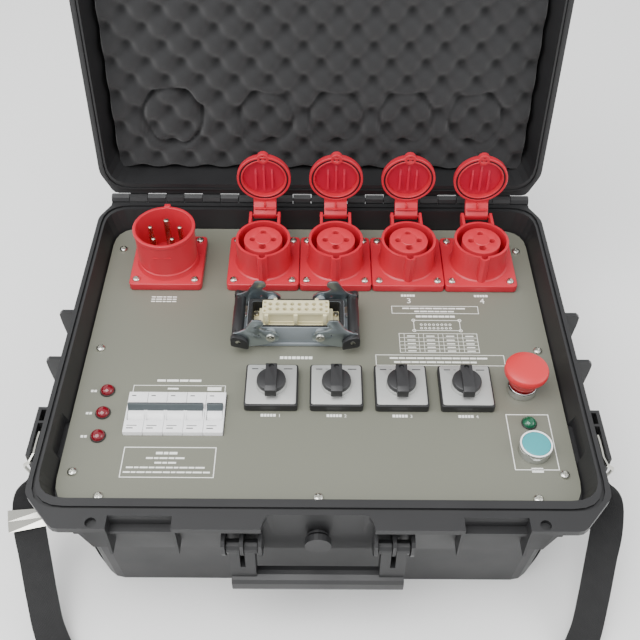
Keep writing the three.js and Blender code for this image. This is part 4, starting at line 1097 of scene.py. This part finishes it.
def ribbon(i0, i1, width, thick, name, count_across=4):
    """A flat closed band along the strap's middle line."""
    vertices, faces = [], []
    for i in range(i0, i1 + 1):
        side, tangent = across(i)
        up = tangent.cross(side).normalized()
        row = [side * width * (j / count_across - 0.5) + up * thick / 2 for j in range(count_across + 1)]
        row += [side * width * (j / count_across - 0.5) - up * thick / 2 for j in range(count_across, -1, -1)]
        vertices += [(middle_line[i] + p) * MM for p in row]
    ring = 2 * (count_across + 1)
    for i in range(i1 - i0):
        for j in range(ring):
            a, b = i * ring + j, i * ring + (j + 1) % ring
            faces.append((a, b, b + ring, a + ring))
    faces.append(tuple(range(ring)))
    faces.append(tuple(reversed(range((i1 - i0) * ring, (i1 - i0 + 1) * ring))))
    mesh = bpy.data.meshes.new(name)
    mesh.from_pydata(vertices, [], faces)
    obj = bpy.data.objects.new(name, mesh)
    bpy.context.collection.objects.link(obj)
    along = mesh.uv_layers.new(name="along")
    for polygon in mesh.polygons:
        for loop in polygon.loop_indices:
            index = mesh.loops[loop].vertex_index
            j = index % ring
            along.data[loop].uv = (min(j, ring - 1 - j) / count_across, (i0 + index // ring) / STEPS)
    return settle(obj)


RIB, WARP_THREADS = 1.4, 18


def webbing_finish(length):
    """Polyester webbing, dull and ribbed: ribs across the strap every 1.4 mm, warp threads along it."""
    material = surface("woven polyester webbing", "#151516", 0.8, 0.4, 0.3, 0.08, 0.04, 12,
                       **{"Sheen Weight": 0.15})
    tree = material.node_tree
    place = add(tree, "ShaderNodeUVMap", {"uv_map": "along"}).outputs["UV"]
    axes = add(tree, "ShaderNodeSeparateXYZ", None, {"Vector": place})
    waves = []
    for axis, count in (("X", WARP_THREADS), ("Y", length / RIB)):
        phase = add(tree, "ShaderNodeMath", {"operation": "MULTIPLY"}, {0: axes.outputs[axis]})
        phase.inputs[1].default_value = count * 2 * math.pi
        waves.append(add(tree, "ShaderNodeMath", {"operation": "SINE"}, {0: phase.outputs[0]}))
    weave = add(tree, "ShaderNodeMath", {"operation": "MULTIPLY"},
                {0: waves[0].outputs[0], 1: waves[1].outputs[0]})
    bump = add(tree, "ShaderNodeBump", {"Strength": 0.6, "Distance": 0.3 * MM}, {"Height": weave.outputs[0]})
    shader = next(n for n in tree.nodes if n.type == "BSDF_PRINCIPLED")
    tree.links.new(bump.outputs["Normal"], shader.inputs["Normal"])
    return material


M["webbing"] = webbing_finish(strap_length)
strap = ribbon(2, STEPS - 2, WIDTH, 1.3, "strap")
current(strap)
bpy.ops.object.shade_smooth_by_angle(angle=math.radians(50))
finish(strap, "strap_band", M["webbing"], nodes=["strap_webbing"])
carry("nickel", 0, "strap_slider", "strap_ring_left", "strap_ring_right")
current(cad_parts["strap_slider"])
bpy.ops.object.shade_flat()
print("strap length", round(strap_length), "mm")

# %% [markdown]
# ## Floor and light
# A pale floor, a large soft light above the case and to its left, and two weaker ones at the sides.
# The sky is a plain light grey, so chrome and ink have something to reflect.

# %% floor and light
bpy.ops.mesh.primitive_plane_add(size=14, location=(0, 0, -0.0005))
floor = bpy.context.object
floor.name = "floor"
floor.data.materials.append(surface("pale matt floor", "#fbfbfa", 0.85, 3, 0.0, 0.0, 0.0))

world = bpy.data.worlds.new("studio")
bpy.context.scene.world = world
world.use_nodes = True
world.node_tree.nodes["Background"].inputs["Color"].default_value = linear("#f4f5f6")
world.node_tree.nodes["Background"].inputs["Strength"].default_value = 1.15


def area_light(name, place, target, size, power):
    """A square light of that size, turned to its target."""
    data = bpy.data.lights.new(name, "AREA")
    data.size = size
    data.energy = power
    obj = bpy.data.objects.new(name, data)
    obj.location = place
    obj.rotation_euler = (Vector(target) - Vector(place)).to_track_quat("-Z", "Y").to_euler()
    bpy.context.collection.objects.link(obj)


area_light("key", (-0.5, -0.5, 2.0), (0, 0, 0.1), 1.6, 46)
area_light("left fill", (-1.8, -0.6, 1.0), (0, 0, 0.15), 1.2, 12)
area_light("right fill", (1.8, -0.4, 1.2), (0, 0, 0.15), 1.2, 12)
print("a floor and three lights")
